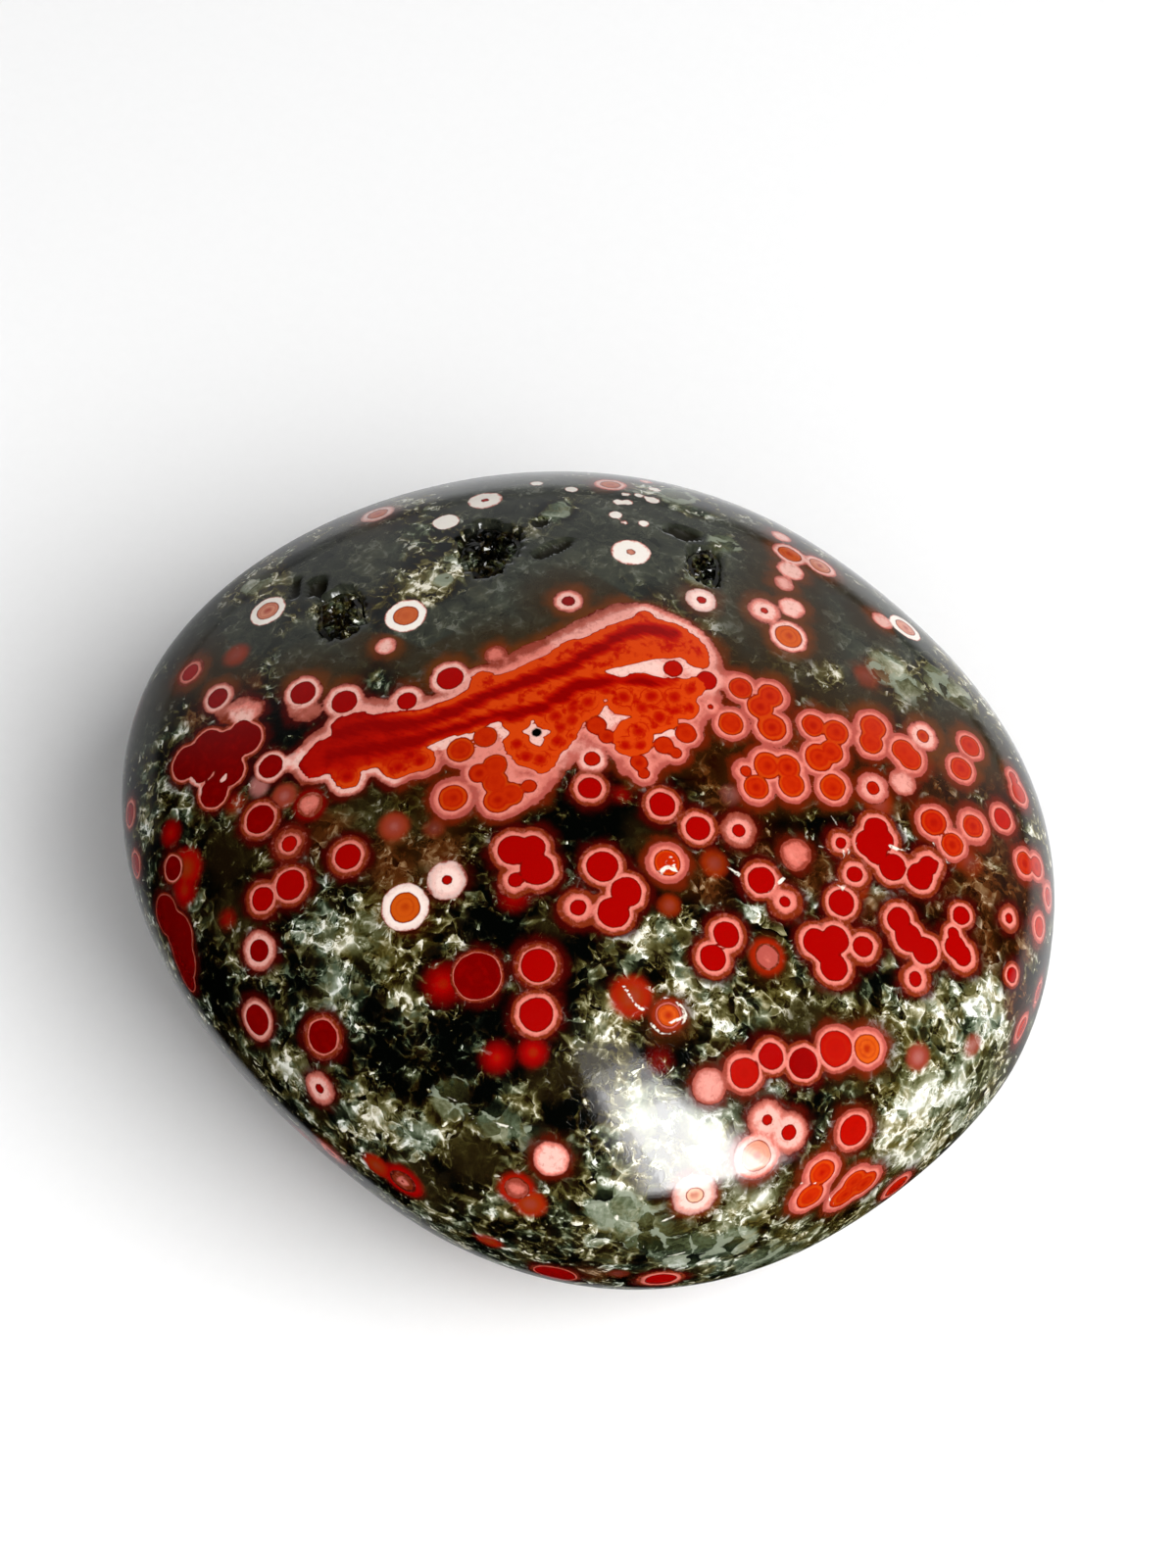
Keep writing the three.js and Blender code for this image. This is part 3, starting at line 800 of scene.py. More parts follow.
def hollow_phase(index):
    """The number that gives a hollow its own wall, as in the solids."""
    druses = sum(1 for hollow in HOLLOWS if hollow.druse)
    return index + 1 if index < druses else 2 * (index - druses) + 1


def sink_hollows(points):
    """The points with the hollows pressed in, and how deep each one lies, from 0 to 1."""
    sunk = points.copy()
    depth = np.zeros(len(points))
    for index, hollow in enumerate(HOLLOWS):
        share = hollow_depth(hollow, hollow_phase(index), points)
        outward = hollow_frame(hollow)[3]
        sunk -= (share * hollow.deep)[:, None] * outward
        depth = np.maximum(depth, share)
    return sunk, depth


# ---- The marks as distances --------------------------------------------------------------------


def spline(outline, closed, pieces):
    """Points of a smooth curve through an outline's corners, with so many to each side."""
    corners = np.array(outline, float)
    count = len(corners)
    drawn = []
    for i in range(count if closed else count - 1):
        places = np.arange(i - 1, i + 3)
        a, b, c, d = corners[places % count if closed else np.clip(places, 0, count - 1)]
        for t in np.arange(pieces) / pieces:
            drawn.append(
                0.5 * (2 * b + (c - a) * t + (2 * a - 5 * b + 4 * c - d) * t * t
                       + (3 * b - a - 3 * c + d) * t ** 3)
            )
    return np.array(drawn)


def within(outline, columns, rows):
    """True where a column and row lie inside a closed outline."""
    inside = np.zeros(len(columns), bool)
    for (x0, y0), (x1, y1) in zip(outline, np.roll(outline, -1, axis=0)):
        crosses = (y0 > rows) != (y1 > rows)
        slope = (x1 - x0) / (y1 - y0) if y1 != y0 else 0.0
        inside ^= crosses & (columns < x0 + (rows - y0) * slope)
    return inside


def squared_distance(points, centre):
    """Square of the distance from each point to one place."""
    offset = points - centre
    return np.einsum("ij,ij->i", offset, offset)


def nearest(points, marks):
    """Distance in mm from each point to the nearest of the marks."""
    best = np.full(len(points), FAR ** 2)
    for mark in marks:
        best = np.minimum(best, squared_distance(points, mark))
    return np.sqrt(best)


class Ground:
    """The mesh's points with where they show in the view, so marks can be laid on them."""

    def __init__(self, points):
        self.points = points
        self.seen = facing_view(points) > 0
        self.columns, self.rows = project(points)

    def near(self, outline, margin):
        """Numbers of the seen points near an outline, within a margin in pixels."""
        low, high = outline.min(0) - margin, outline.max(0) + margin
        return np.flatnonzero(
            self.seen
            & (self.columns > low[0]) & (self.columns < high[0])
            & (self.rows > low[1]) & (self.rows < high[1])
        )

    def outlines(self, outlines, pieces=3):
        """Signed distance in mm to the nearest of several outlines."""
        return np.minimum.reduce([self.outline(corners, pieces) for corners in outlines])

    def lines(self, lines):
        """Distance in mm to the nearest of several lines."""
        return np.minimum.reduce([self.line(corners) for corners in lines])

    def outline(self, corners, pieces):
        """Signed distance in mm to a closed outline, negative inside it."""
        drawn = spline(corners, closed=True, pieces=pieces)
        chosen = self.near(drawn, OUTLINE_MARGIN)
        away = nearest(self.points[chosen], lay_on_stone(*drawn.T))
        inside = within(drawn, self.columns[chosen], self.rows[chosen])
        distance = np.full(len(self.points), FAR)
        distance[chosen] = np.where(inside, -away, away)
        return distance

    def line(self, corners):
        """Distance in mm to a line through the corners."""
        drawn = spline(corners, closed=False, pieces=10)
        chosen = self.near(drawn, LINE_MARGIN)
        distance = np.full(len(self.points), FAR)
        distance[chosen] = nearest(self.points[chosen], lay_on_stone(*drawn.T))
        return distance

    def patches(self, patches):
        """How strongly soft patches cover each point, from 0 to 1."""
        columns, rows, radii = np.array(patches, float).T
        spots = zip(lay_on_stone(columns, rows), radii)
        return np.maximum.reduce([soft_spot(self.points, *spot) for spot in spots])


def soft_spot(points, centre, radius):
    """A soft round spot: 1 at its centre, about a half at its radius, then fading out."""
    return np.exp(-SPOT_FALL * squared_distance(points, centre) / radius ** 2)


def hidden_places(count, spacing, rng):
    """Random places on the side that the view doesn't show, kept apart, in mm from the heart."""
    places = []
    for _ in range(HIDDEN_TRIES * count):
        point = surface(unit(rng.normal(size=3) * HIDDEN_SPREAD)[None])
        hidden = facing_view(point)[0] <= HIDDEN_FACING
        if hidden and all(np.linalg.norm(point - other) > spacing for other in places):
            places.append(point[0])
        if len(places) == count:
            break
    return np.array(places)


def hidden_orbs(rng):
    """Centres, radii, heats and pallors of the orbs on the hidden side, some in clusters."""
    rows = []
    for centre in hidden_places(HIDDEN_CLUSTERS, HIDDEN_CLUSTER_SPACING, rng):
        warm = 0.5 + 0.5 * math.tanh(centre[0] / 12)
        heat = float(np.clip(warm + rng.normal() * 0.15, -0.1, 0.95))
        pallor = float(rng.choice([*HIDDEN_PALLORS], p=[*HIDDEN_PALLORS.values()]))
        size = rng.uniform(0.75, 1.15)
        for lobe in range(rng.choice([*HIDDEN_LOBES], p=[*HIDDEN_LOBES.values()])):
            place = centre + rng.normal(size=3) * (0.95 * size if lobe else 0)
            core = size * rng.uniform(*((0.8, 1.1) if pallor < 0.8 else (0.35, 0.6)))
            ring = core + rng.uniform(0.4, 0.6)
            rows.append((*surface(unit(place)[None])[0], core, ring, heat, pallor))
    return np.array(rows)


def placed_orbs():
    """Centres, radii, heats and pallors of the listed orbs."""
    placed = []
    for family in FAMILIES:
        columns, rows = zip(*(orb[:2] for orb in family.orbs))
        for centre, orb in zip(lay_on_stone(columns, rows), family.orbs):
            heat = family.heat if orb.heat is None else orb.heat
            pallor = family.pallor if orb.pallor is None else orb.pallor
            placed.append((*centre, orb.core, orb.ring, heat, pallor))
    return np.array(placed)


def orb_fields(points, orbs):
    """Distances to the cores and rings of all orbs, and their blended heat and pallor."""
    core, ring, hub = (np.full(len(points), FAR) for _ in range(3))
    heat, pallor, weight = (np.full(len(points), 1e-9) for _ in range(3))
    for *centre, core_radius, ring_radius, orb_heat, orb_pallor in orbs:
        distance = np.sqrt(squared_distance(points, centre))
        disc = np.maximum(DISC_HEART, distance - DISC_FILL * ring_radius)
        to_core = distance - core_radius if core_radius > 0 else disc
        hub = np.where(to_core < core, distance, hub)
        core = np.minimum(core, to_core)
        ring = np.minimum(ring, distance - ring_radius)
        share = np.exp(-ORB_SHARPNESS * np.clip(distance - ring_radius, *ORB_REACH))
        heat += share * orb_heat
        pallor += share * orb_pallor
        weight += share
    return core, ring, hub, heat / weight, pallor / weight


def glow_fields(points, rng):
    """Strength and heat of the soft spots, placed and hidden."""
    placed = np.array(GLOWS)
    spots = [*np.hstack([lay_on_stone(*placed.T[:2]), placed[:, 2:]])]
    for centre in hidden_places(HIDDEN_GLOWS, HIDDEN_GLOW_SPACING, rng):
        spots.append((*centre, rng.uniform(0.8, 1.5), rng.uniform(0, 1.2), rng.uniform(0.4, 0.9)))
    strength = np.zeros(len(points))
    heat = np.zeros(len(points))
    for *centre, radius, spot_heat, spot_strength in spots:
        share = np.sqrt(squared_distance(points, centre)) / radius
        cover = spot_strength / (1 + np.exp((share - GLOW_EDGE) * GLOW_SHARPNESS))
        hot = spot_heat + GLOW_HEART * np.exp(-GLOW_HEART_FALL * share ** 2)
        heat = np.where(cover > strength, hot, heat)
        strength = np.maximum(strength, cover)
    return strength, heat


def mark_fields(points):
    """Every mark of the stone as a number at each point of its mesh."""
    rng = np.random.default_rng(HIDDEN_SEED)
    ground = Ground(points)
    orbs = np.concatenate([placed_orbs(), hidden_orbs(rng)])
    core, ring, hub, heat, pallor = orb_fields(points, orbs)
    glow, glow_heat = glow_fields(points, rng)

    band = ground.outlines([BAND_OUTLINE])
    pocket = ground.outlines((BAND_POCKET, *SLITS))
    pink = ground.outlines(PINK_OUTLINES, 4)
    white = ground.outlines(WHITE_OUTLINES)
    rosy = ground.outlines(ROSY_OUTLINES)
    in_band = 1 / (1 + np.exp(np.clip(band * BAND_SHARPNESS, -40, 40)))
    lobes = BAND_LOBE_WARMING * np.maximum(ground.rows - BAND_LOBE_ROW, 0)
    share = np.clip((ground.columns - BAND_COOL_COLUMN + lobes) / BAND_COOL_WIDTH, 0, 1)
    band_heat = BAND_HEATS[0] + (BAND_HEATS[1] - BAND_HEATS[0]) * share
    core = np.maximum(np.minimum(core, band), -pocket)
    ring = np.minimum(np.minimum(ring, band - BAND_RIM), pink)
    heat = heat * (1 - in_band) + band_heat * in_band
    near_pink = np.clip((PINK_FADE[1] - pink) / (PINK_FADE[1] - PINK_FADE[0]), 0, 1)
    pallor = pallor + (PINK_PALLOR - pallor) * near_pink * PINK_SHARE
    for away, (start, gain, top) in ((rosy, ROSY_PALLORS), (white, WHITE_PALLORS)):
        pale = np.clip(start - away * gain, 0, top) * (away < PALE_OVERLAP)
        pallor = np.maximum(pallor, pale)

    covers = {name: ground.patches(patches) for name, patches in GROUNDS.items()}
    for centre in hidden_places(HIDDEN_PATCHES, HIDDEN_PATCH_SPACING, rng):
        name = str(rng.choice(list(GROUNDS)))
        spot = soft_spot(points, centre, rng.uniform(*HIDDEN_PATCH_RADII))
        covers[name] = np.maximum(covers[name], spot)
    hole = nearest(points, lay_on_stone(*np.array([POCKET_HOLE]).T)) - POCKET_HOLE_RADIUS
    return {
        "core": core,
        "ring": ring,
        "hub": hub,
        "warmth": heat,
        "pallor": pallor,
        "glow": glow,
        "glow_warmth": glow_heat,
        "band": -np.maximum(band, -pocket),
        "streak": ground.lines(STREAKS),
        "knot": nearest(points, lay_on_stone(*np.array(KNOTS).T)),
        "crack": ground.lines(CRACKS),
        "hole": hole,
        **covers,
    }


# ---- Materials ---------------------------------------------------------------------------------

MID_GREY = (0.5, 0.5, 0.5)
QUARTZ_IOR = 1.54


class Pen:
    """Draws nodes in one tree. Most calls give back an output socket."""

    def __init__(self, tree):
        self.tree = tree

    def feed(self, socket, value):
        """Links a socket to another one, or sets its value."""
        if isinstance(value, bpy.types.NodeSocket):
            self.tree.links.new(value, socket)
        else:
            socket.default_value = value

    def node(self, kind, inputs=(), **settings):
        """A node with its settings made and its inputs fed, by number or by name."""
        made = self.tree.nodes.new(kind)
        for name, value in settings.items():
            setattr(made, name, value)
        for name, value in dict(inputs).items():
            self.feed(made.inputs[name], value)
        return made

    def group(self, tree, **values):
        """The outputs of a placed node group with its inputs fed by name."""
        return self.node("ShaderNodeGroup", values, node_tree=tree).outputs

    def math(self, operation, *values, clamp=False):
        """A sum on numbers."""
        made = self.node("ShaderNodeMath", enumerate(values), operation=operation)
        made.use_clamp = clamp
        return made.outputs[0]

    def vector(self, operation, *values):
        """A sum on vectors."""
        made = self.node("ShaderNodeVectorMath", enumerate(values), operation=operation)
        return made.outputs["Value" if operation == "DOT_PRODUCT" else "Vector"]

    def total(self, start, *terms, clamp=False):
        """The start plus each term's value times its weight."""
        for value, weight in terms:
            start = self.math("MULTIPLY_ADD", value, weight, start, clamp=clamp)
        return start

    def product(self, first, *others):
        """All the numbers multiplied together."""
        for other in others:
            first = self.math("MULTIPLY", first, other)
        return first

    def most(self, first, *others):
        """The greatest of the numbers."""
        for other in others:
            first = self.math("MAXIMUM", first, other)
        return first

    def between(self, *values):
        """A smooth step as a value runs from low to high: from 0 to 1, or as given next."""
        kind = "ShaderNodeMapRange"
        return self.node(kind, enumerate(values), interpolation_type="SMOOTHSTEP").outputs[0]

    def hump(self, value, low, peak, high, top=1.0):
        """A smooth hump: nothing at low and high, and the top value at the peak."""
        fall = self.between(value, peak, high, top, 0.0)
        return self.product(self.between(value, low, peak), fall)

    def mix(self, share, a, b, blend="MIX"):
        """Colour b over colour a."""
        inputs = {"Factor": share, 6: a, 7: b}
        return self.node("ShaderNodeMix", inputs, data_type="RGBA", blend_type=blend).outputs[2]

    def blend(self, share, a, b):
        """Number b over number a."""
        inputs = {"Factor": share, 2: a, 3: b}
        return self.node("ShaderNodeMix", inputs, data_type="FLOAT").outputs[0]

    def ramp(self, share, *stops):
        """A colour that runs through stops of (place, colour)."""
        made = self.node("ShaderNodeValToRGB", {0: share})
        marks = made.color_ramp.elements
        for index, (place, colour) in enumerate(stops):
            mark = marks[index] if index < 2 else marks.new(place)
            mark.position = place
            mark.color = colour
        return made.outputs[0]

    def noise(self, vector, scale, detail=2.0, roughness=0.5, distortion=0.0, colour=False):
        """Soft noise about 0.5, as a number or as a colour."""
        inputs = {"Vector": vector, "Scale": scale, "Detail": detail}
        inputs.update(Roughness=roughness, Distortion=distortion)
        return self.node("ShaderNodeTexNoise", inputs).outputs["Color" if colour else "Fac"]

    def wave(self, vector, scale, detail=2.0, roughness=0.5):
        """Noise that swings both ways round zero."""
        return self.math("SUBTRACT", self.noise(vector, scale, detail, roughness), 0.5)

    def cells(self, vector, scale, feature="F1"):
        """The outputs of Voronoi cells."""
        inputs = {"Vector": vector, "Scale": scale}
        return self.node("ShaderNodeTexVoronoi", inputs, feature=feature).outputs

    def channels(self, colour):
        """The red, green and blue of a colour."""
        return self.node("ShaderNodeSeparateColor", {0: colour}).outputs

    def shift(self, vector, amount, by):
        """The vector moved by a colour's offset from grey, times an amount."""
        offset = self.vector("SUBTRACT", by, MID_GREY)
        return self.vector("MULTIPLY_ADD", offset, (amount, amount, amount), vector)

    def attributes(self, names):
        """The mesh's attributes of those names, which a space keeps apart."""
        kind = "ShaderNodeAttribute"
        return [self.node(kind, attribute_name=name).outputs["Fac"] for name in names.split()]


def group_tree(name, inputs, outputs):
    """A new shader node group: its pen, what it is given and what it has to fill.

    Each input has its default, or None where it is a vector. Each output has its kind.
    """
    tree = bpy.data.node_groups.new(name, "ShaderNodeTree")
    for socket, default in inputs.items():
        kind = "NodeSocketVector" if default is None else "NodeSocketFloat"
        made = tree.interface.new_socket(socket, in_out="INPUT", socket_type=kind)
        if default is not None:
            made.default_value = default
    for socket, kind in outputs.items():
        tree.interface.new_socket(socket, in_out="OUTPUT", socket_type=kind)
    pen = Pen(tree)
    return pen, pen.node("NodeGroupInput").outputs, pen.node("NodeGroupOutput").inputs


def quartz_grains():
    """The node group that breaks the ground up into shards and threads of quartz."""
    number = "NodeSocketFloat"
    pen, given, out = group_tree(
        "quartz_grains",
        {"Vector": None, "Lift": 0.5, "Spread": 1.5, "Threads": 1.0, "Plates": 0.0},
        {"Lightness": number, "Coolness": number, "Veins": number},
    )
    place = given["Vector"]
    curved = pen.shift(place, 1.6, pen.noise(place, 0.45, 2, 0.5, colour=True))
    frayed = pen.shift(curved, 0.22, pen.noise(place, 2.4, 2, 0.6, colour=True))

    def broken(vector, scale, stretch):
        """Shards of one size: their chance from 0 to 1, slanting shade and seams."""
        vector = pen.vector("MULTIPLY", vector, stretch)
        cells = pen.cells(vector, scale)
        lean = pen.vector("SUBTRACT", vector, cells["Position"])
        tilt = pen.vector("SUBTRACT", cells["Color"], MID_GREY)
        slant = pen.product(pen.vector("DOT_PRODUCT", lean, tilt), scale)
        rim = pen.cells(vector, scale, "DISTANCE_TO_EDGE")["Distance"]
        return pen.channels(cells["Color"])[0], slant, rim

    def thread(scale, width):
        """Fine curved threads: where a noise crosses its middle."""
        away = pen.math("ABSOLUTE", pen.wave(curved, scale))
        return pen.between(away, width * 0.35, width, 1.0, 0.0)

    soft, cloud = pen.wave(curved, 0.85), pen.wave(place, 0.3)
    tooth = pen.wave(frayed, 3.2, 3, 0.6)
    where = pen.between(pen.noise(place, 0.8), 0.44, 0.6)
    big, big_slant, big_rim = broken(frayed, 0.7, (1.0, 1.4, 1.0))
    small, small_slant, small_rim = broken(frayed, 1.8, (1.3, 0.9, 1.0))
    chips = pen.total(-0.17, (small, 0.3), (small_slant, 0.6))
    shape = pen.total(-0.2, (big, 0.3), (big_slant, 0.7), (chips, pen.total(0.28, (where, 0.8))))
    shape = pen.total(shape, (soft, 0.7), (tooth, 0.3), (cloud, 1.5))
    border = pen.between(pen.total(big_rim, (tooth, 0.5)), 0.0, 0.26, 0.42, 0.0)
    chipped = pen.between(pen.total(small_rim, (tooth, 0.5)), 0.0, 0.2, 0.3, 0.0)
    border = pen.most(border, pen.product(chipped, where))
    shape = pen.total(shape, (border, pen.between(pen.noise(curved, 1.3), 0.4, 0.62)))
    lit = pen.total(given["Lift"], (shape, given["Spread"]))

    seam = pen.between(pen.total(big_rim, (tooth, 0.15)), 0.02, 0.06, 1.0, 0.0)
    threads = pen.product(pen.most(thread(0.9, 0.03), thread(1.7, 0.04), seam), where)
    fleck = pen.between(pen.total(small, (small_slant, 1.2)), 1.02, 1.12)
    slivers = pen.cells(pen.vector("MULTIPLY", frayed, (1.0, 2.4, 1.6)), 1.7)
    sliver = pen.math("SUBTRACT", pen.channels(slivers["Color"])[1], slivers["Distance"])
    fleck = pen.product(pen.most(fleck, pen.between(sliver, 0.6, 0.64)), where)
    bright = pen.total(pen.product(fleck, 0.5), (threads, 0.3))
    lit = pen.total(lit, (bright, given["Threads"]))

    plate, plate_slant, plate_rim = broken(curved, 0.46, (1.0, 1.3, 1.0))
    flat = pen.total(0.5, (tooth, 0.5), (plate, 0.55), (plate_slant, 0.9))
    wide = pen.between(pen.noise(place, 0.7), 0.4, 0.66, -0.02, 0.13)
    vein = pen.math("SUBTRACT", pen.total(plate_rim, (tooth, 0.25)), wide)
    pen.feed(out["Lightness"], pen.blend(given["Plates"], lit, flat))
    pen.feed(out["Coolness"], pen.between(pen.noise(place, 0.6, 3, 0.6), 0.42, 0.6))
    pen.feed(out["Veins"], pen.between(vein, -0.01, 0.02, 1.0, 0.0))
    return pen.tree


def quartz_colours(finish):
    """The node group for quartz colours: olive and sand where warm, moss and grey where cool."""
    pen, given, out = group_tree(
        "quartz_colours", {"Lightness": 0.5, "Coolness": 0.5}, {"Color": "NodeSocketColor"}
    )
    share = pen.math("DIVIDE", given["Lightness"], 1.4, clamp=True)
    places = (0.0, 0.2, 0.37, 0.55, 0.74, 1.0)
    warm = (finish.black, finish.brown, finish.olive, finish.khaki, finish.sand, finish.cream)
    cool = (finish.black, finish.pine, finish.moss, finish.sage, finish.quartz, finish.white)
    warm, cool = (pen.ramp(share, *zip(places, shades)) for shades in (warm, cool))
    pen.feed(out["Color"], pen.mix(given["Coolness"], warm, cool))
    return pen.tree


def fresh_material(name):
    """An empty material with one Principled shader: the material, its pen and its inputs."""
    material = bpy.data.materials.new(name)
    material.use_nodes = True
    inputs = material.node_tree.nodes["Principled BSDF"].inputs
    inputs["IOR"].default_value = QUARTZ_IOR
    return material, Pen(material.node_tree), inputs


def stone_place(pen):
    """Object coordinates in millimetres."""
    place = pen.node("ShaderNodeTexCoord").outputs["Object"]
    return pen.vector("MULTIPLY", place, (1 / MM, 1 / MM, 1 / MM))


def core_colour(pen, place, finish, core, hub, heat):
    """The orbs' hearts, red to peach: a dark hub, growth rings and a dark outline."""
    warm = pen.ramp(
        pen.math("DIVIDE", heat, 1.5),
        (0.0, finish.crimson), (0.35, finish.ember), (0.56, finish.scarlet), (0.66, finish.amber),
        (0.8, finish.tan), (0.88, finish.salmon), (1.0, finish.peach),
    )
    warm = pen.mix(pen.between(heat, -0.15, 0.0, 1.0, 0.0), warm, finish.blood)
    mottle = pen.noise(place, 1.6, 3, 0.6)
    warm = pen.mix(pen.between(mottle, 0.45, 0.75, 0.0, 0.35), warm, finish.crimson)
    wavy = pen.total(hub, (mottle, 0.3))
    spot = pen.between(wavy, 0.28, 0.62, 0.85, 0.0)
    rings = pen.product(
        pen.most(spot, pen.hump(wavy, 0.68, 0.78, 0.92, 0.4)),
        pen.between(heat, 0.0, 0.8, 0.25, 0.9),
        pen.between(pen.noise(place, 0.35), 0.4, 0.6, 0.3, 1.0),
    )
    warm = pen.mix(rings, warm, finish.hub)
    flush = pen.product(pen.hump(wavy, 0.85, 1.0, 1.2), pen.between(heat, 0.4, 0.9, 0.0, 0.4))
    warm = pen.mix(flush, warm, finish.amber)
    return pen.mix(pen.between(core, -0.14, -0.03, 0.0, 0.8), warm, finish.outline)


def band_colour(pen, place, finish, band, streak, knot, heat):
    """The red band: orange margins, dark streaks along it and knotted orange cells."""
    drawn_out = {"Vector": place, "Rotation": (0, 0, BAND_TURN), "Scale": (0.15, 1.0, 1.0)}
    along = pen.node("ShaderNodeMapping", drawn_out).outputs[0]
    drift, fibre = pen.wave(along, 1.1, 3, 0.6), pen.wave(along, 4.0, 3, 0.6)
    mottle = pen.noise(place, 1.1, 3, 0.6)
    shaped = pen.total(knot, (mottle, 0.4))
    dark = pen.most(
        pen.between(pen.total(streak, (drift, 1.3), (fibre, 0.4)), 0.15, 0.9, 1.0, 0.0),
        pen.between(shaped, 0.25, 0.85, 0.7, 0.0),
        pen.hump(shaped, 0.86, 0.94, 1.06, 0.3),
        pen.between(mottle, 0.46, 0.75, 0.0, 0.7),
    )
    warm = pen.product(pen.math("SUBTRACT", 1.0, dark), pen.between(heat, 0.1, 0.8))
    margin = pen.between(pen.total(band, (fibre, 0.5)), 0.2, 0.65, 0.4, 0.0)
    return pen.ramp(
        pen.total(warm, (fibre, 0.3), (margin, pen.between(heat, 0.34, 0.5))),
        (0.0, finish.garnet), (0.4, finish.ember), (0.75, finish.scarlet), (1.0, finish.flame),
    )


def ring_colour(pen, place, finish, across, heat, pallor):
    """The rings: bright beside the core, then a dusky skin, dark at its outer edge."""
    across = pen.total(across, (pen.wave(place, 5.0, 3, 0.7), 0.28), (pen.wave(place, 1.5), 0.5))
    across = pen.math("ADD", across, pen.between(pallor, -0.6, 0.3, 0.9, 0.0))
    warm = pen.between(heat, 0.2, 0.7)
    skin = pen.mix(warm, finish.skin_cool, finish.skin_warm)
    edge = pen.mix(warm, finish.edge_cool, finish.edge_warm)
    pink = pen.mix(pen.between(across, 0.15, 0.4), finish.ring_bright, finish.ring_pink)
    pink = pen.mix(pen.between(across, 0.36, 0.6), pink, skin)
    pink = pen.mix(pen.between(across, 0.84, 1.0), pink, edge)
    rosy = pen.ramp(
        across,
        (0.4, finish.ring_rosy), (0.62, finish.ring_bright), (0.82, finish.ring_dusky),
        (1.0, finish.edge_cool),
    )
    white = pen.ramp(
        across, (0.82, finish.ring_white), (0.95, finish.ring_rosy), (1.0, finish.ring_dusky)
    )
    pale = pen.mix(pen.between(pallor, 0.66, 0.88), rosy, white)
    colour = pen.mix(pen.between(pallor, 0.3, 0.56), pink, pale)
    cloud = pen.between(pen.noise(place, 2.6, 3, 0.65, 0.6), 0.5, 0.72)
    cloud = pen.product(cloud, pen.between(pallor, 0.62, 0.9, 0.5, 0.08))
    return pen.mix(cloud, colour, finish.ring_dusky)


def glow_colour(pen, finish, heat):
    """Soft spots: crimson, orange, or lilac-pink where the orb's ring is what shows."""
    return pen.ramp(
        pen.math("DIVIDE", heat, 1.6),
        (0.0, finish.blood), (0.22, finish.crimson), (0.45, finish.scarlet_deep),
        (0.7, finish.mauve), (1.0, finish.lilac),
    )


def ground_colour(pen, finish, tints, quartz, wobble, warm, covers):
    """The quartz ground: crystals, and mossy, smooth with painted sheen, rusty or flaked places.
    """
    milky, crushed, olive, slate, rusty, flaked, flaky = covers
    lightness = quartz["Lightness"]
    coolness = pen.total(quartz["Coolness"], (milky, 0.7), (crushed, -0.5))
    coolness = pen.total(coolness, (olive, -1.0), (warm, -0.45), (flaky, 0.6), clamp=True)
    ground = pen.group(tints, Lightness=lightness, Coolness=coolness)["Color"]
    honeyed = pen.product(warm, pen.between(lightness, 0.6, 1.0, 0.9, 0.1))
    ground = pen.mix(honeyed, ground, finish.honey, "MULTIPLY")
    calm = pen.total(0.35, (lightness, 0.3))
    mossy = pen.ramp(calm, (0.3, finish.brown), (0.9, finish.olive))
    quiet = pen.between(pen.total(olive, (wobble, 0.5)), 0.35, 0.85, 0.0, 0.8)
    ground = pen.mix(quiet, ground, mossy)
    busy = pen.product(pen.most(crushed, flaked), 0.9)
    # Smooth ground with a pale grey mottle: partly the ground's own dark colour, partly painted
    # sheen.
    settled = pen.between(pen.math("SUBTRACT", slate, busy), 0.2, 0.6, 0.0, 0.92)
    smooth = pen.ramp(calm, (0.2, finish.slate), (0.85, finish.slate_pale))
    ground = pen.mix(settled, ground, smooth)
    iron = pen.ramp(
        pen.blend(settled, pen.total(0.18, (lightness, 0.4), clamp=True), 0.36),
        (0.0, finish.maroon), (0.2, finish.umber), (0.4, finish.rust), (1.0, finish.buff),
    )
    rusted = pen.between(pen.total(rusty, (wobble, 0.6)), 0.1, 0.9, 0.0, 0.85)
    ground = pen.mix(rusted, ground, iron)
    veins = pen.product(quartz["Veins"], pen.between(flaked, 0.4, 0.6), 0.8)
    return pen.mix(veins, ground, finish.quartz)


def stain_colour(pen, finish, reach, quieter, warm):
    """The stain round the orbs: brown-red, and ochre where the ground is smooth."""
    near = pen.mix(warm, finish.stain_cool, finish.stain_warm)
    far = pen.mix(warm, finish.maroon, finish.umber)
    near = pen.mix(quieter, near, finish.ochre)
    far = pen.mix(quieter, far, finish.bister)
    return pen.mix(pen.between(reach, 0.0, pen.total(0.8, (quieter, 0.4))), near, far)


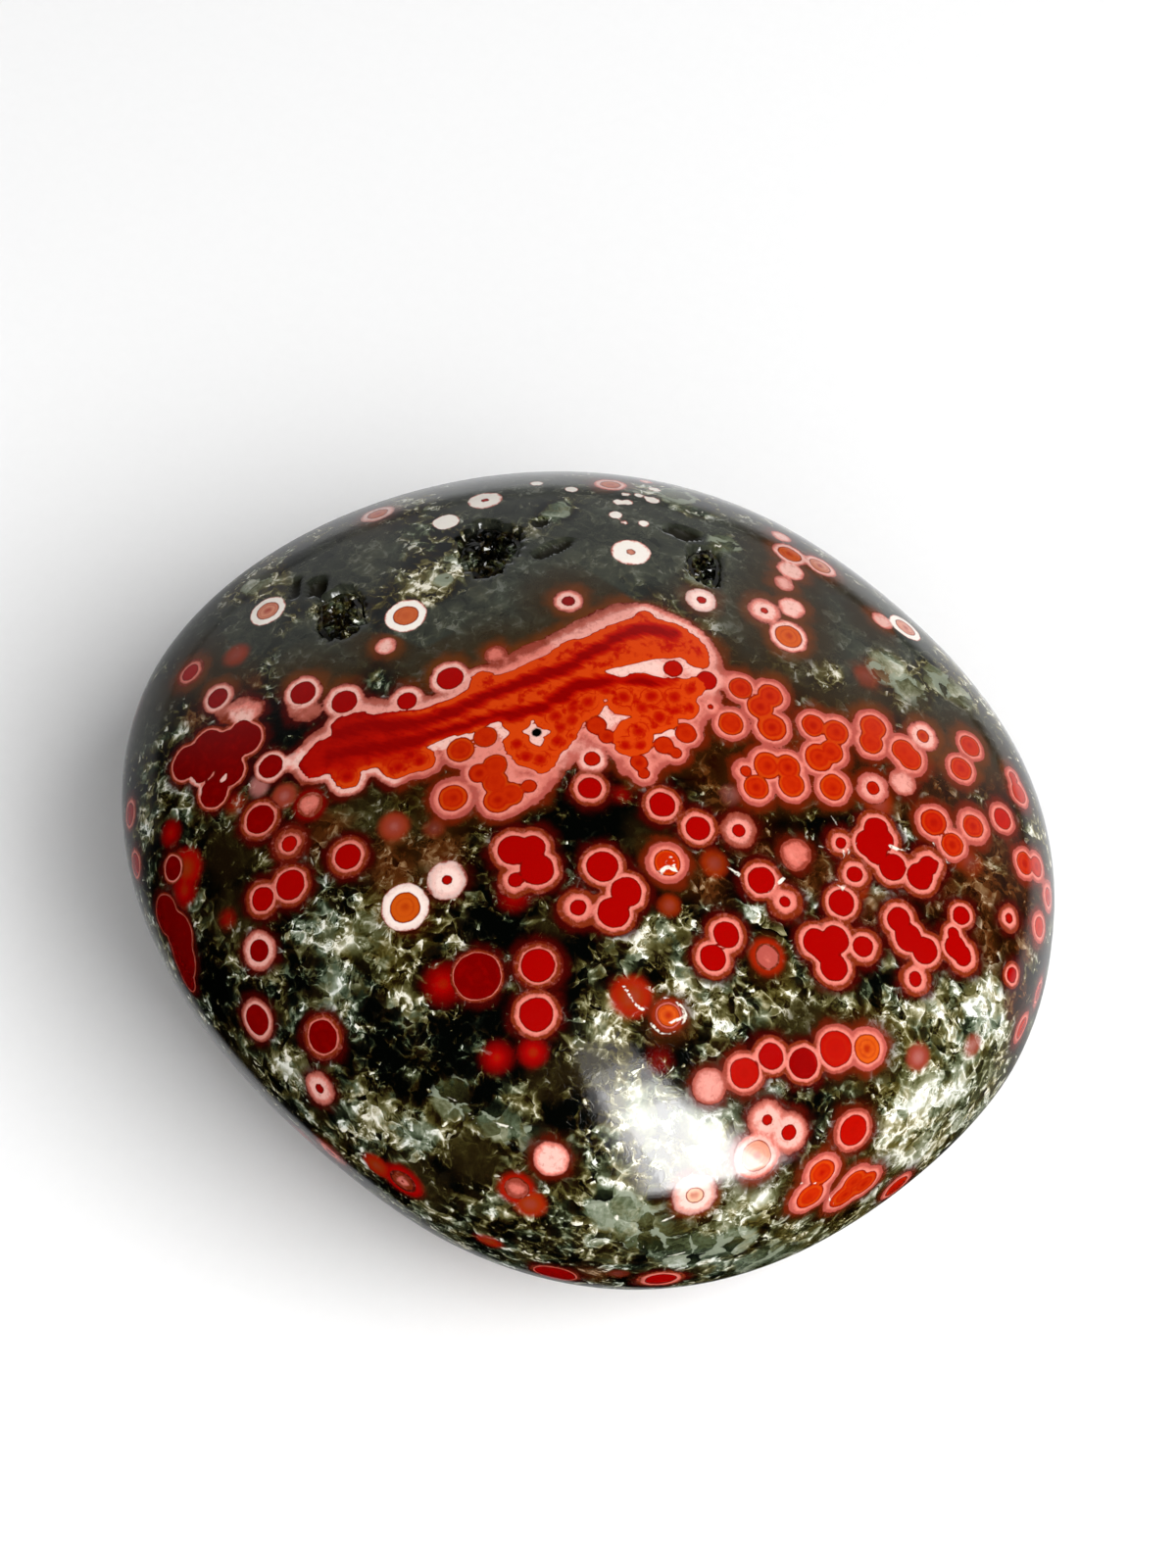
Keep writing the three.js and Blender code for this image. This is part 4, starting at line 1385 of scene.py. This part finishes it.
def jasper_material(finish, grains, tints):
    """Polished orbicular jasper."""
    material, pen, shader = fresh_material("polished_jasper")
    place = stone_place(pen)
    wobble = pen.wave(place, 0.9, 3, 0.55)
    core, ring, hub, heat, pallor = pen.attributes("core ring hub warmth pallor")
    milky, crushed, black, slate = pen.attributes("milky crushed black slate")
    olive, rusty, flaked, inside = pen.attributes("olive rusty flaked inside")
    core, ring = pen.total(core, (wobble, 0.25)), pen.total(ring, (wobble, 0.3))
    outer = pen.math("SUBTRACT", ring, pen.between(pallor, 0.6, 0.9, RING_SKIN, 0.04))
    flaked = pen.total(flaked, (wobble, 0.5))
    flaky = pen.between(flaked, 0.35, 0.65)
    warm = pen.between(heat, 0.1, 0.8)

    lift = pen.total(0.4, (crushed, 0.34), (warm, -0.04), (olive, -0.1), (milky, 0.54))
    lift = pen.total(lift, (black, -0.7), (flaky, -0.08))
    spread = pen.product(pen.blend(milky, 1.3, 0.8), pen.blend(olive, 1.0, 0.7))
    plates = pen.product(flaky, 0.85)
    quartz = pen.group(grains, Vector=place, Lift=lift, Spread=spread, Plates=plates)
    covers = (milky, crushed, olive, slate, rusty, flaked, flaky)
    ground = ground_colour(pen, finish, tints, quartz, wobble, warm, covers)

    reach = pen.math("SUBTRACT", pen.noise(place, 0.7, 3, 0.6), 0.45)
    reach = pen.total(outer, (reach, 1.2))
    quieter = pen.between(slate, 0.15, 0.5)
    limit = pen.total(1.0, (pen.most(warm, pen.product(quieter, 4.0)), 0.8))
    strong = pen.between(pallor, 0.6, 0.9, 0.96, 0.0)
    stained = pen.product(pen.between(reach, 0.1, limit, 1.0, 0.0), strong)
    ground = pen.mix(stained, ground, stain_colour(pen, finish, reach, quieter, warm))
    glow, glow_heat = pen.attributes("glow glow_warmth")
    shown = pen.between(pen.total(glow, (wobble, 0.3)), 0.04, 0.8)
    ground = pen.mix(shown, ground, glow_colour(pen, finish, glow_heat))

    width = pen.most(pen.math("SUBTRACT", core, outer), 0.05)
    across = pen.math("DIVIDE", core, width, clamp=True)
    skin = pen.between(outer, -0.05, 0.06, 1.0, 0.0)
    colour = pen.mix(skin, ground, ring_colour(pen, place, finish, across, heat, pallor))
    band, streak, knot = pen.attributes("band streak knot")
    cores = core_colour(pen, place, finish, core, hub, heat)
    streaks = band_colour(pen, place, finish, band, streak, knot, heat)
    streaks = pen.mix(pen.between(core, -0.12, -0.02, 0.0, 0.8), streaks, finish.outline)
    reds = pen.mix(pen.between(band, -0.05, 0.05), cores, streaks)
    colour = pen.mix(pen.between(core, -0.03, 0.04, 1.0, 0.0), colour, reds)
    crack, hole = pen.attributes("crack hole")
    crack = pen.between(pen.total(crack, (wobble, 0.5)), 0.02, 0.1, 0.9, 0.0)
    broken = pen.between(pen.noise(place, 1.9), 0.32, 0.44)
    colour = pen.mix(pen.product(crack, broken), colour, finish.cream)
    colour = pen.mix(pen.between(hole, -0.1, 0.05, 1.0, 0.0), colour, finish.black)
    # Deeper in a pocket the wall turns to the druse colour: the pocket's dark stain, and painted
    # shade that deepens towards its bottom.
    pen.feed(shader["Base Color"], pen.mix(pen.between(inside, 0.05, 0.6), colour, finish.druse))

    bare = pen.math("SUBTRACT", 1.0, skin)
    grain = pen.product(pen.between(quartz["Lightness"], 0.3, 1.0), bare)
    rough = pen.total(0.04, (pen.noise(place, 2.5, 3, 0.6), 0.05), (grain, 0.06))
    pen.feed(shader["Roughness"], pen.total(rough, (inside, 0.5), clamp=True))
    height = pen.product(quartz["Lightness"], bare)
    bump = {"Strength": 0.12, "Distance": 0.03 * MM, "Height": height}
    pen.feed(shader["Normal"], pen.node("ShaderNodeBump", bump).outputs[0])
    return material


def druzy_material(finish, grains, tints):
    """Small glassy quartz crystals, stained brown and green, in the open pockets."""
    material, pen, shader = fresh_material("druzy_quartz")
    place = stone_place(pen)
    quartz = pen.group(grains, Vector=place, Lift=0.2, Spread=1.0, Threads=0.5)
    tones = {name: quartz[name] for name in ("Lightness", "Coolness")}
    colour = pen.group(tints, **tones)["Color"]
    stain = pen.between(pen.noise(place, 0.6), 0.45, 0.65, 0.0, 0.5)
    pen.feed(shader["Base Color"], pen.mix(stain, colour, finish.druse))
    pen.feed(shader["Roughness"], pen.total(0.04, (pen.noise(place, 3.0), 0.25)))
    return material


def floor_material(tone):
    """A plain pale surface with a faint tooth."""
    material, pen, shader = fresh_material("pale_floor")
    place = pen.node("ShaderNodeTexCoord").outputs["Object"]
    tooth = pen.between(pen.noise(place, 900.0, 3), 0.2, 0.8)
    pale = (*(channel * 0.99 for channel in tone[:3]), 1.0)
    pen.feed(shader["Base Color"], pen.mix(tooth, pale, (*tone[:3], 1.0)))
    shader["Roughness"].default_value = 0.7
    shader["Specular IOR Level"].default_value = 0.1
    return material


# ---- Pieces ------------------------------------------------------------------------------------


def place_piece(name, points, faces, smooth):
    """A mesh object at the origin, from points in metres."""
    mesh = bpy.data.meshes.new(name)
    mesh.from_pydata(points.tolist(), [], [tuple(face) for face in faces])
    mesh.polygons.foreach_set("use_smooth", [smooth] * len(mesh.polygons))
    mesh.update()
    piece = bpy.data.objects.new(name, mesh)
    bpy.context.scene.collection.objects.link(piece)
    return piece


def heart_place(points):
    """Where the heart lies in the part's frame, in mm, from the solid's own box."""
    low, high = (np.array(corner) / MM for corner in STONE_BOX)
    middle = (low + high) / 2 - (points.min(0) + points.max(0)) / 2
    return np.array([middle[0], middle[1], low[2] + RESTING_DEPTH])


def outward_faces(points, quads):
    """The quads, each turned so that it faces away from the heart."""
    a, b, c, d = (points[quads[:, i]] for i in range(4))
    outward = np.einsum("ij,ij->i", np.cross(c - a, d - b), a + c) > 0
    return np.where(outward[:, None], quads, quads[:, ::-1])


def make_stone(steps, material):
    """The polished stone's fine mesh, with its marks written on it as attributes."""
    directions, quads = ball_grid(steps)
    smooth = surface(directions, POLISH_INSET)
    heart = heart_place(surface(directions))
    sunk, depth = sink_hollows(smooth)
    quads = outward_faces(smooth, quads)
    piece = place_piece("jasper_stone", (sunk + heart) * MM, quads, True)
    fields = {**mark_fields(smooth), "inside": depth}
    for name, values in fields.items():
        made = piece.data.attributes.new(name, "FLOAT", "POINT")
        made.data.foreach_set("value", values.astype(np.float32))
    piece.data.materials.append(material)
    return piece


def crust_bowl(hollow, phase, heart, rings=18, spokes=36):
    """The lining of a pocket: a thin closed bowl, its inner skin marked for crystals."""
    middle, along, across, outward = hollow_frame(hollow)
    turns = np.arange(spokes) * 2 * math.pi / spokes
    tilts = np.linspace(0, CRUST_SPREAD * math.pi / 2, rings + 1)[1:, None]
    bowl = (np.sin(tilts) * np.cos(turns), np.sin(tilts) * np.sin(turns), -np.cos(tilts))
    bowl = np.stack(np.broadcast_arrays(*bowl), -1).reshape(-1, 3)
    heading = np.concatenate([[(0.0, 0.0, -1.0)], bowl])
    swell = 1 + WALL_ROUGHNESS * wander(heading, phase)
    swell += 0.05 * np.sin(9 * heading[:, 0] + 7 * heading[:, 1] + phase)
    skins = []
    for clearance in CRUST_CLEARANCES:
        half = np.array([hollow.long / 2, hollow.wide / 2, hollow.deep]) - clearance
        x, y, z = (heading * swell[:, None] * half).T[..., None]
        skins.append(middle + x * along + y * across + z * outward)
    count = len(heading)
    faces = []
    for offset, order in ((0, -1), (count, 1)):
        for i in range(spokes):
            j = (i + 1) % spokes
            faces.append([offset, offset + 1 + i, offset + 1 + j][::order])
            for ring in range(rings - 1):
                a = offset + 1 + ring * spokes
                b = a + spokes
                faces.append([a + i, b + i, b + j, a + j][::order])
    rim = 1 + (rings - 1) * spokes
    for i in range(spokes):
        j = (i + 1) % spokes
        faces.append([count + rim + i, count + rim + j, rim + j, rim + i])
    points = np.concatenate(skins)
    piece = place_piece(hollow.druse + "_crystals", (points + heart) * MM, faces, False)
    marks = piece.data.attributes.new("inner", "FLOAT", "POINT")
    marks.data.foreach_set("value", (np.arange(len(points)) >= count).astype(np.float32))
    return piece


def crystal_tree(material):
    """Geometry nodes that grow six-sided crystals on the skin marked as inner."""
    tree = bpy.data.node_groups.new("grow_crystals", "GeometryNodeTree")
    face = tree.interface
    face.new_socket("Geometry", in_out="INPUT", socket_type="NodeSocketGeometry")
    for name, default in (("Spacing", 0.0004), ("Radius", 0.0002), ("Length", 0.001)):
        made = face.new_socket(name, in_out="INPUT", socket_type="NodeSocketFloat")
        made.default_value = default
    face.new_socket("Geometry", in_out="OUTPUT", socket_type="NodeSocketGeometry")
    pen = Pen(tree)
    given, out = pen.node("NodeGroupInput").outputs, pen.node("NodeGroupOutput").inputs

    kind = "GeometryNodeInputNamedAttribute"
    inner = pen.node(kind, {"Name": "inner"}, data_type="FLOAT").outputs[0]
    compared = {"data_type": "FLOAT", "operation": "GREATER_THAN"}
    chosen = pen.node("FunctionNodeCompare", {0: inner, 1: 0.9}, **compared)
    scatter = pen.node(
        "GeometryNodeDistributePointsOnFaces",
        {
            "Mesh": given["Geometry"],
            "Selection": chosen.outputs[0],
            "Distance Min": given["Spacing"],
            "Density Max": CRYSTAL_DENSITY,
            "Seed": CRYSTAL_SEEDS["place"],
        },
        distribute_method="POISSON",
    ).outputs

    def prism(top, bottom, depth, lift):
        """A six-sided prism or point, lifted off its foot."""
        sizes = {"Radius Top": top, "Radius Bottom": bottom, "Depth": depth}
        made = pen.node("GeometryNodeMeshCone", {"Vertices": 6, **sizes}, fill_type="NGON")
        offset = pen.node("ShaderNodeCombineXYZ", {2: lift}).outputs[0]
        moved = {"Geometry": made.outputs["Mesh"], "Translation": offset}
        return pen.node("GeometryNodeTransform", moved).outputs[0]

    def joined(*parts):
        """The parts as one geometry, the last one first."""
        made = pen.node("GeometryNodeJoinGeometry")
        for part in parts:
            tree.links.new(part, made.inputs[0])
        return made.outputs[0]

    shaft = pen.product(given["Length"], 0.6)
    neck = pen.product(given["Radius"], 0.88)
    tip = prism(0.0, neck, pen.product(given["Length"], 0.4), shaft)
    crystal = joined(tip, prism(neck, given["Radius"], shaft, 0.0))

    kind = "FunctionNodeRandomValue"
    low, high = (-CRYSTAL_LEAN, -CRYSTAL_LEAN, 0.0), (CRYSTAL_LEAN, CRYSTAL_LEAN, CRYSTAL_TURN)
    limits = {0: low, 1: high, "Seed": CRYSTAL_SEEDS["lean"]}
    angles = pen.node(kind, limits, data_type="FLOAT_VECTOR").outputs[0]
    turned = {0: scatter["Rotation"], 1: angles}
    lean = pen.node("FunctionNodeRotateRotation", turned, rotation_space="LOCAL").outputs[0]
    limits = {2: CRYSTAL_SIZES[0], 3: CRYSTAL_SIZES[1], "Seed": CRYSTAL_SEEDS["size"]}
    scale = pen.node(kind, limits, data_type="FLOAT").outputs[1]
    planted = {"Points": scatter["Points"], "Instance": crystal, "Rotation": lean, "Scale": scale}
    grown = pen.node("GeometryNodeInstanceOnPoints", planted).outputs[0]
    whole = joined(grown, given["Geometry"])
    real = pen.node("GeometryNodeRealizeInstances", {0: whole}).outputs[0]
    painted = pen.node("GeometryNodeSetMaterial", {"Geometry": real, "Material": material})
    pen.feed(out[0], painted.outputs[0])
    return tree


def grow(piece, tree, **sizes):
    """Runs a tree on a piece and keeps the result as its plain mesh."""
    modifier = piece.modifiers.new("grow", "NODES")
    modifier.node_group = tree
    for item in tree.interface.items_tree:
        if item.in_out == "INPUT" and item.name in sizes:
            modifier[item.identifier] = sizes[item.name]
    bpy.context.view_layer.update()
    evaluated = piece.evaluated_get(bpy.context.evaluated_depsgraph_get())
    grown = bpy.data.meshes.new_from_object(evaluated)
    piece.modifiers.clear()
    grown.name = piece.name
    piece.data = grown


def trim_under_polish(piece, heart, margin=0.1):
    """Draws in whatever would stand proud of the polished surface."""
    points = np.array([v.co for v in piece.data.vertices]) / MM - heart
    reach = np.linalg.norm(points, axis=-1)
    limit = pebble_radius(points / reach[:, None]) - margin
    points *= np.minimum(1, limit / reach)[:, None]
    piece.data.vertices.foreach_set("co", ((points + heart) * MM).ravel())
    piece.data.update()


# ---- Settings ----------------------------------------------------------------------------------


def linear(hex_colour):
    """A web colour as linear red, green, blue and a full alpha."""
    shares = [int(hex_colour[i:i + 2], 16) / 255 for i in (0, 2, 4)]
    channels = (s / 12.92 if s <= 0.04045 else ((s + 0.055) / 1.055) ** 2.4 for s in shares)
    return (*channels, 1.0)


def shade(hex_colour, name, text):
    """A colour property with its default."""
    return bpy.props.FloatVectorProperty(
        name=name, description=text, default=linear(hex_colour), size=4,
        min=0.0, max=1.0, subtype="COLOR",
    )


class JasperFinish(bpy.types.PropertyGroup):
    """Colours of the stone."""

    crimson: shade("9A0201", "Crimson", "Hearts of the cooler orbs")
    scarlet: shade("B42103", "Scarlet", "Hearts of the warmer orbs and the band's margins")
    scarlet_deep: shade("8E2A06", "Deep scarlet", "Warm orbs that lie under the surface")
    garnet: shade("840201", "Garnet", "Dark streaks of the band")
    ember: shade("A80C02", "Ember", "Cells and streaks inside the band")
    hub: shade("960801", "Hub", "Dark middles and growth rings of the hearts")
    amber: shade("C4500E", "Amber", "Hearts of the warmest orbs")
    tan: shade("BC6E46", "Tan", "Hearts of orbs with white rings")
    salmon: shade("D48A6E", "Salmon", "Pale hearts")
    peach: shade("E8BC9E", "Peach", "Palest hearts")
    blood: shade("6A0000", "Blood red", "Hearts of the darkest orbs")
    stain_cool: shade("3E0402", "Cool stain", "Ground beside the cooler orbs")
    stain_warm: shade("641A05", "Warm stain", "Ground beside the warmer orbs")
    ochre: shade("5E2D08", "Ochre stain", "Smooth ground beside an orb")
    bister: shade("2F210C", "Bister stain", "Smooth ground further from an orb")
    maroon: shade("1C0201", "Maroon", "Edge of the stain round the cooler orbs")
    umber: shade("2C1403", "Umber", "Edge of the stain round the warmer orbs")
    outline: shade("640A04", "Outline", "Thin line round each heart")
    ring_bright: shade("D87C6E", "Bright ring", "Ring beside the heart")
    ring_pink: shade("C8685A", "Pink ring", "Middle of the rings")
    ring_rosy: shade("E8B4A8", "Rosy ring", "Rings of the paler orbs")
    ring_dusky: shade("A85C50", "Dusky ring", "Outer part of the paler rings")
    ring_white: shade("F6EEE4", "White ring", "Rings of the palest orbs")
    skin_cool: shade("76280F", "Cool skin", "Outer part of the cooler rings")
    skin_warm: shade("A84C42", "Warm skin", "Outer part of the warmer rings")
    edge_cool: shade("581006", "Cool edge", "Outermost line of the cooler rings")
    edge_warm: shade("66200C", "Warm edge", "Outermost line of the warmer rings")
    lilac: shade("A4645E", "Lilac", "Pale orbs that lie under the surface")
    mauve: shade("8E3A2C", "Mauve", "Warm spots that lie under the surface")
    rust: shade("56290D", "Rust", "Ground stained by iron")
    buff: shade("B08A5C", "Buff", "Light ground stained by iron")
    flame: shade("C83C0A", "Flame", "Brightest orange of the band")
    honey: shade("FFF3CF", "Honey", "Tint of the ground among the warmer orbs")
    brown: shade("1A1005", "Brown black", "Darkest warm ground")
    olive: shade("3A3516", "Olive", "Dark warm ground")
    khaki: shade("5C5733", "Khaki", "Middling warm ground")
    sand: shade("9A9473", "Sand", "Light warm ground")
    cream: shade("EAE5D6", "Cream", "Crushed quartz and fracture lines")
    pine: shade("090C08", "Pine black", "Darkest cool ground")
    moss: shade("222919", "Moss", "Dark cool ground")
    sage: shade("4D5844", "Sage", "Middling cool ground")
    quartz: shade("888F7B", "Quartz", "Light cool ground")
    white: shade("E4E6DE", "White", "Whitest quartz")
    # The smooth ground's dark colour, and its paler grey, which is partly painted sheen.
    slate: shade("20221C", "Slate", "Smooth dark ground of the far shoulder")
    slate_pale: shade("45483D", "Pale slate", "Clouds in the smooth ground")
    black: shade("020302", "Black", "Clear quartz that looks black")
    # The crystals' stain, and in the stone's pockets also painted shade that darkens their walls
    # with depth.
    druse: shade("141208", "Druse", "Ground colour of the pockets")


class JasperSizes(bpy.types.PropertyGroup):
    """Sizes and amounts that a user may change."""

    mesh_steps: bpy.props.IntProperty(
        name="Mesh steps", description="Squares along each of the mesh's six sides",
        default=128, min=16, max=128,
    )
    crystal_spacing: bpy.props.FloatProperty(
        name="Crystal spacing", description="Least distance between crystals in a pocket",
        default=0.34 * MM, min=0.1 * MM, unit="LENGTH",
    )
    crystal_radius: bpy.props.FloatProperty(
        name="Crystal radius", description="Radius of a crystal's foot",
        default=0.26 * MM, min=0.05 * MM, unit="LENGTH",
    )
    crystal_length: bpy.props.FloatProperty(
        name="Crystal length", description="Length of a crystal from foot to point",
        default=0.95 * MM, min=0.1 * MM, unit="LENGTH",
    )


class JasperStage(bpy.types.PropertyGroup):
    """The stage round the stone."""

    floor_shade: shade("F2F2F2", "Floor", "Colour of the floor")
    floor_size: bpy.props.FloatProperty(
        name="Floor size", description="Length of the floor's sides",
        default=6.0, min=0.5, unit="LENGTH",
    )
    side_power: bpy.props.FloatProperty(
        name="Side light", description="Power of the light from the right, in watts",
        default=14.5, min=0.0,
    )
    window_power: bpy.props.FloatProperty(
        name="Window light", description="Power of the light from the near right, in watts",
        default=7.0, min=0.0,
    )
    sky_power: bpy.props.FloatProperty(
        name="Overhead light", description="Power of the wide light overhead, in watts",
        default=5.8, min=0.0,
    )
    glint_power: bpy.props.FloatProperty(
        name="Window glint", description="Power of the window as the polish mirrors it, in watts",
        default=52.0, min=0.0,
    )
    sky_strength: bpy.props.FloatProperty(
        name="Surroundings", description="Brightness of the room behind the stone",
        default=0.4, min=0.0,
    )


# ---- Operators ---------------------------------------------------------------------------------


def shared_groups(finish):
    """The two quartz node groups, made once and then used again."""
    groups = bpy.data.node_groups
    grains = groups.get("quartz_grains") or quartz_grains()
    return grains, groups.get("quartz_colours") or quartz_colours(finish)


def stone_heart():
    """The heart's place in the part's frame, in mm, for pieces other than the stone."""
    directions, _ = ball_grid(HEART_STEPS)
    return heart_place(surface(directions))


class MakeStone(bpy.types.Operator):
    """Build the polished stone with its orbs, red band and quartz ground"""

    bl_idname = "jasper.make_stone"
    bl_label = "Make stone"

    def execute(self, context):
        finish = context.scene.jasper_finish
        material = jasper_material(finish, *shared_groups(finish))
        piece = make_stone(context.scene.jasper_sizes.mesh_steps, material)
        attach(piece, "root")
        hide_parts("stone")
        return {"FINISHED"}


class MakeDruses(bpy.types.Operator):
    """Grow the quartz crystals that line the open pockets"""

    bl_idname = "jasper.make_druses"
    bl_label = "Make druzy pockets"

    def execute(self, context):
        finish, sizes = context.scene.jasper_finish, context.scene.jasper_sizes
        tree = crystal_tree(druzy_material(finish, *shared_groups(finish)))
        heart = stone_heart()
        for index, hollow in enumerate(HOLLOWS):
            if not hollow.druse:
                continue
            share = hollow.deep / HOLLOWS[0].deep
            piece = crust_bowl(hollow, hollow_phase(index), heart)
            grow(
                piece, tree,
                Spacing=sizes.crystal_spacing,
                Radius=sizes.crystal_radius * share,
                Length=sizes.crystal_length * share,
            )
            trim_under_polish(piece, heart)
            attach(piece, "root")
            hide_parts(hollow.druse)
        return {"FINISHED"}


def aim(thing, place, target):
    """Puts a light or camera at a place and points it at a target."""
    thing.location = place
    thing.rotation_euler = (Vector(target) - Vector(place)).to_track_quat("-Z", "Y").to_euler()


def add_light(name, azimuth, elevation, distance, width, height, power, lighting):
    """A rectangular light on the stone, or an upright one that only its polish mirrors."""
    data = bpy.data.lights.new(name, "AREA")
    data.shape = "RECTANGLE"
    data.size, data.size_y = width, height
    data.energy = power
    light = bpy.data.objects.new(name, data)
    bpy.context.scene.collection.objects.link(light)
    centre = (CAD_BOX[0] + CAD_BOX[1]) / 2
    place = centre + Vector(direction_to(azimuth, elevation)) * distance
    aim(light, place, centre if lighting else (centre.x, centre.y, place.z))
    light.visible_glossy = not lighting
    light.visible_diffuse = lighting


def make_camera(heart):
    """The camera at the view's angle, so marks show where they were placed."""
    data = bpy.data.cameras.new("camera")
    data.sensor_fit = "AUTO"
    data.sensor_width = SENSOR
    data.lens = SENSOR * VIEW_DISTANCE / PIXEL_AT_HEART / VIEW_HEIGHT
    data.clip_start = 0.01
    camera = bpy.data.objects.new("camera", data)
    bpy.context.scene.collection.objects.link(camera)
    turned = Matrix(view_axes()).transposed().to_4x4()
    camera.matrix_world = Matrix.Translation(Vector((heart + view_eye()) * MM)) @ turned
    bpy.context.scene.camera = camera


def make_surroundings(strength):
    """A room that is pale low down behind the stone and dark overhead and elsewhere."""
    world = bpy.data.worlds.new("room")
    bpy.context.scene.world = world
    world.use_nodes = True
    pen = Pen(world.node_tree)
    heading = pen.node("ShaderNodeTexCoord").outputs["Generated"]
    level = pen.vector("NORMALIZE", pen.vector("MULTIPLY", heading, (1.0, 1.0, 0.0)))
    rise = pen.node("ShaderNodeSeparateXYZ", {0: heading}).outputs[2]

    def towards(azimuth, low, high, ray):
        """How far a ray heads towards an azimuth."""
        facing = pen.vector("DOT_PRODUCT", ray, tuple(direction_to(azimuth, 0)))
        return pen.between(facing, low, high)

    low_down = pen.product(pen.between(rise, 0.4, 0.85, 1.0, 0.0), pen.between(rise, -0.15, 0.0))
    behind = pen.product(towards(105, 0.2, 0.8, heading), low_down)
    under = pen.product(towards(140, 0.6, 0.85, level), pen.between(rise, -0.15, 0.0, 0.75, 0.0))
    beside = pen.product(towards(80, 0.3, 0.7, heading), pen.between(rise, -0.3, -0.08, 2.5, 0.0))
    background = world.node_tree.nodes["Background"].inputs
    pen.feed(background["Strength"], pen.product(pen.most(behind, beside, under), strength))
    background["Color"].default_value = (0.97, 0.98, 1.0, 1.0)


class MakeStage(bpy.types.Operator):
    """Set up the floor, lights, surroundings and camera"""

    bl_idname = "jasper.make_stage"
    bl_label = "Make stage"

    def execute(self, context):
        stage = context.scene.jasper_stage
        half = stage.floor_size / 2
        corners = half * np.array([(-1, -1, 0), (1, -1, 0), (1, 1, 0), (-1, 1, 0)])
        floor = place_piece("floor", corners, [(0, 1, 2, 3)], False)
        floor.data.materials.append(floor_material(stage.floor_shade))
        floor.visible_glossy = False
        for name, lamp in LAMPS.items():
            power = getattr(stage, f"{name}_power")
            add_light(name, *lamp[:3], lamp.size, lamp.size, power, lighting=True)
        for index, pane in enumerate(PANES):
            middle = pane.base + pane.height / 2
            rise = math.degrees(math.atan2(middle, 1))
            heading = pane.edge - math.degrees(math.atan2(pane.width / 2, 1))
            add_light(
                f"glint_{index}", heading, rise, math.hypot(1, middle), pane.width,
                pane.height, stage.glint_power * pane.share, lighting=False,
            )
        make_surroundings(stage.sky_strength)
        make_camera(stone_heart())
        context.scene.view_settings.view_transform = "Standard"
        return {"FINISHED"}


SETTINGS = {
    "jasper_finish": JasperFinish,
    "jasper_sizes": JasperSizes,
    "jasper_stage": JasperStage,
}


class JasperPanel(bpy.types.Panel):
    """Lists the pieces and their settings"""

    bl_idname = "VIEW3D_PT_jasper"
    bl_label = "Ocean jasper"
    bl_space_type = "VIEW_3D"
    bl_region_type = "UI"
    bl_category = "Ocean jasper"

    def draw(self, context):
        layout = self.layout
        for operator in (MakeStone, MakeDruses, MakeStage):
            layout.operator(operator.bl_idname)
        for name in SETTINGS:
            settings = getattr(context.scene, name)
            for prop in settings.bl_rna.properties:
                if prop.identifier not in ("rna_type", "name"):
                    layout.prop(settings, prop.identifier)


CLASSES = (*SETTINGS.values(), MakeStone, MakeDruses, MakeStage, JasperPanel)


def register():
    """Registers the classes and hangs their settings on the scene."""
    for cls in CLASSES:
        bpy.utils.register_class(cls)
    for name, settings in SETTINGS.items():
        setattr(bpy.types.Scene, name, bpy.props.PointerProperty(type=settings))


def unregister():
    """Takes the settings and classes away again."""
    for name in SETTINGS:
        delattr(bpy.types.Scene, name)
    for cls in reversed(CLASSES):
        bpy.utils.unregister_class(cls)


def main():
    register()
    bpy.ops.jasper.make_stone()
    bpy.ops.jasper.make_druses()
    bpy.ops.jasper.make_stage()


if __name__ == "__main__":
    main()
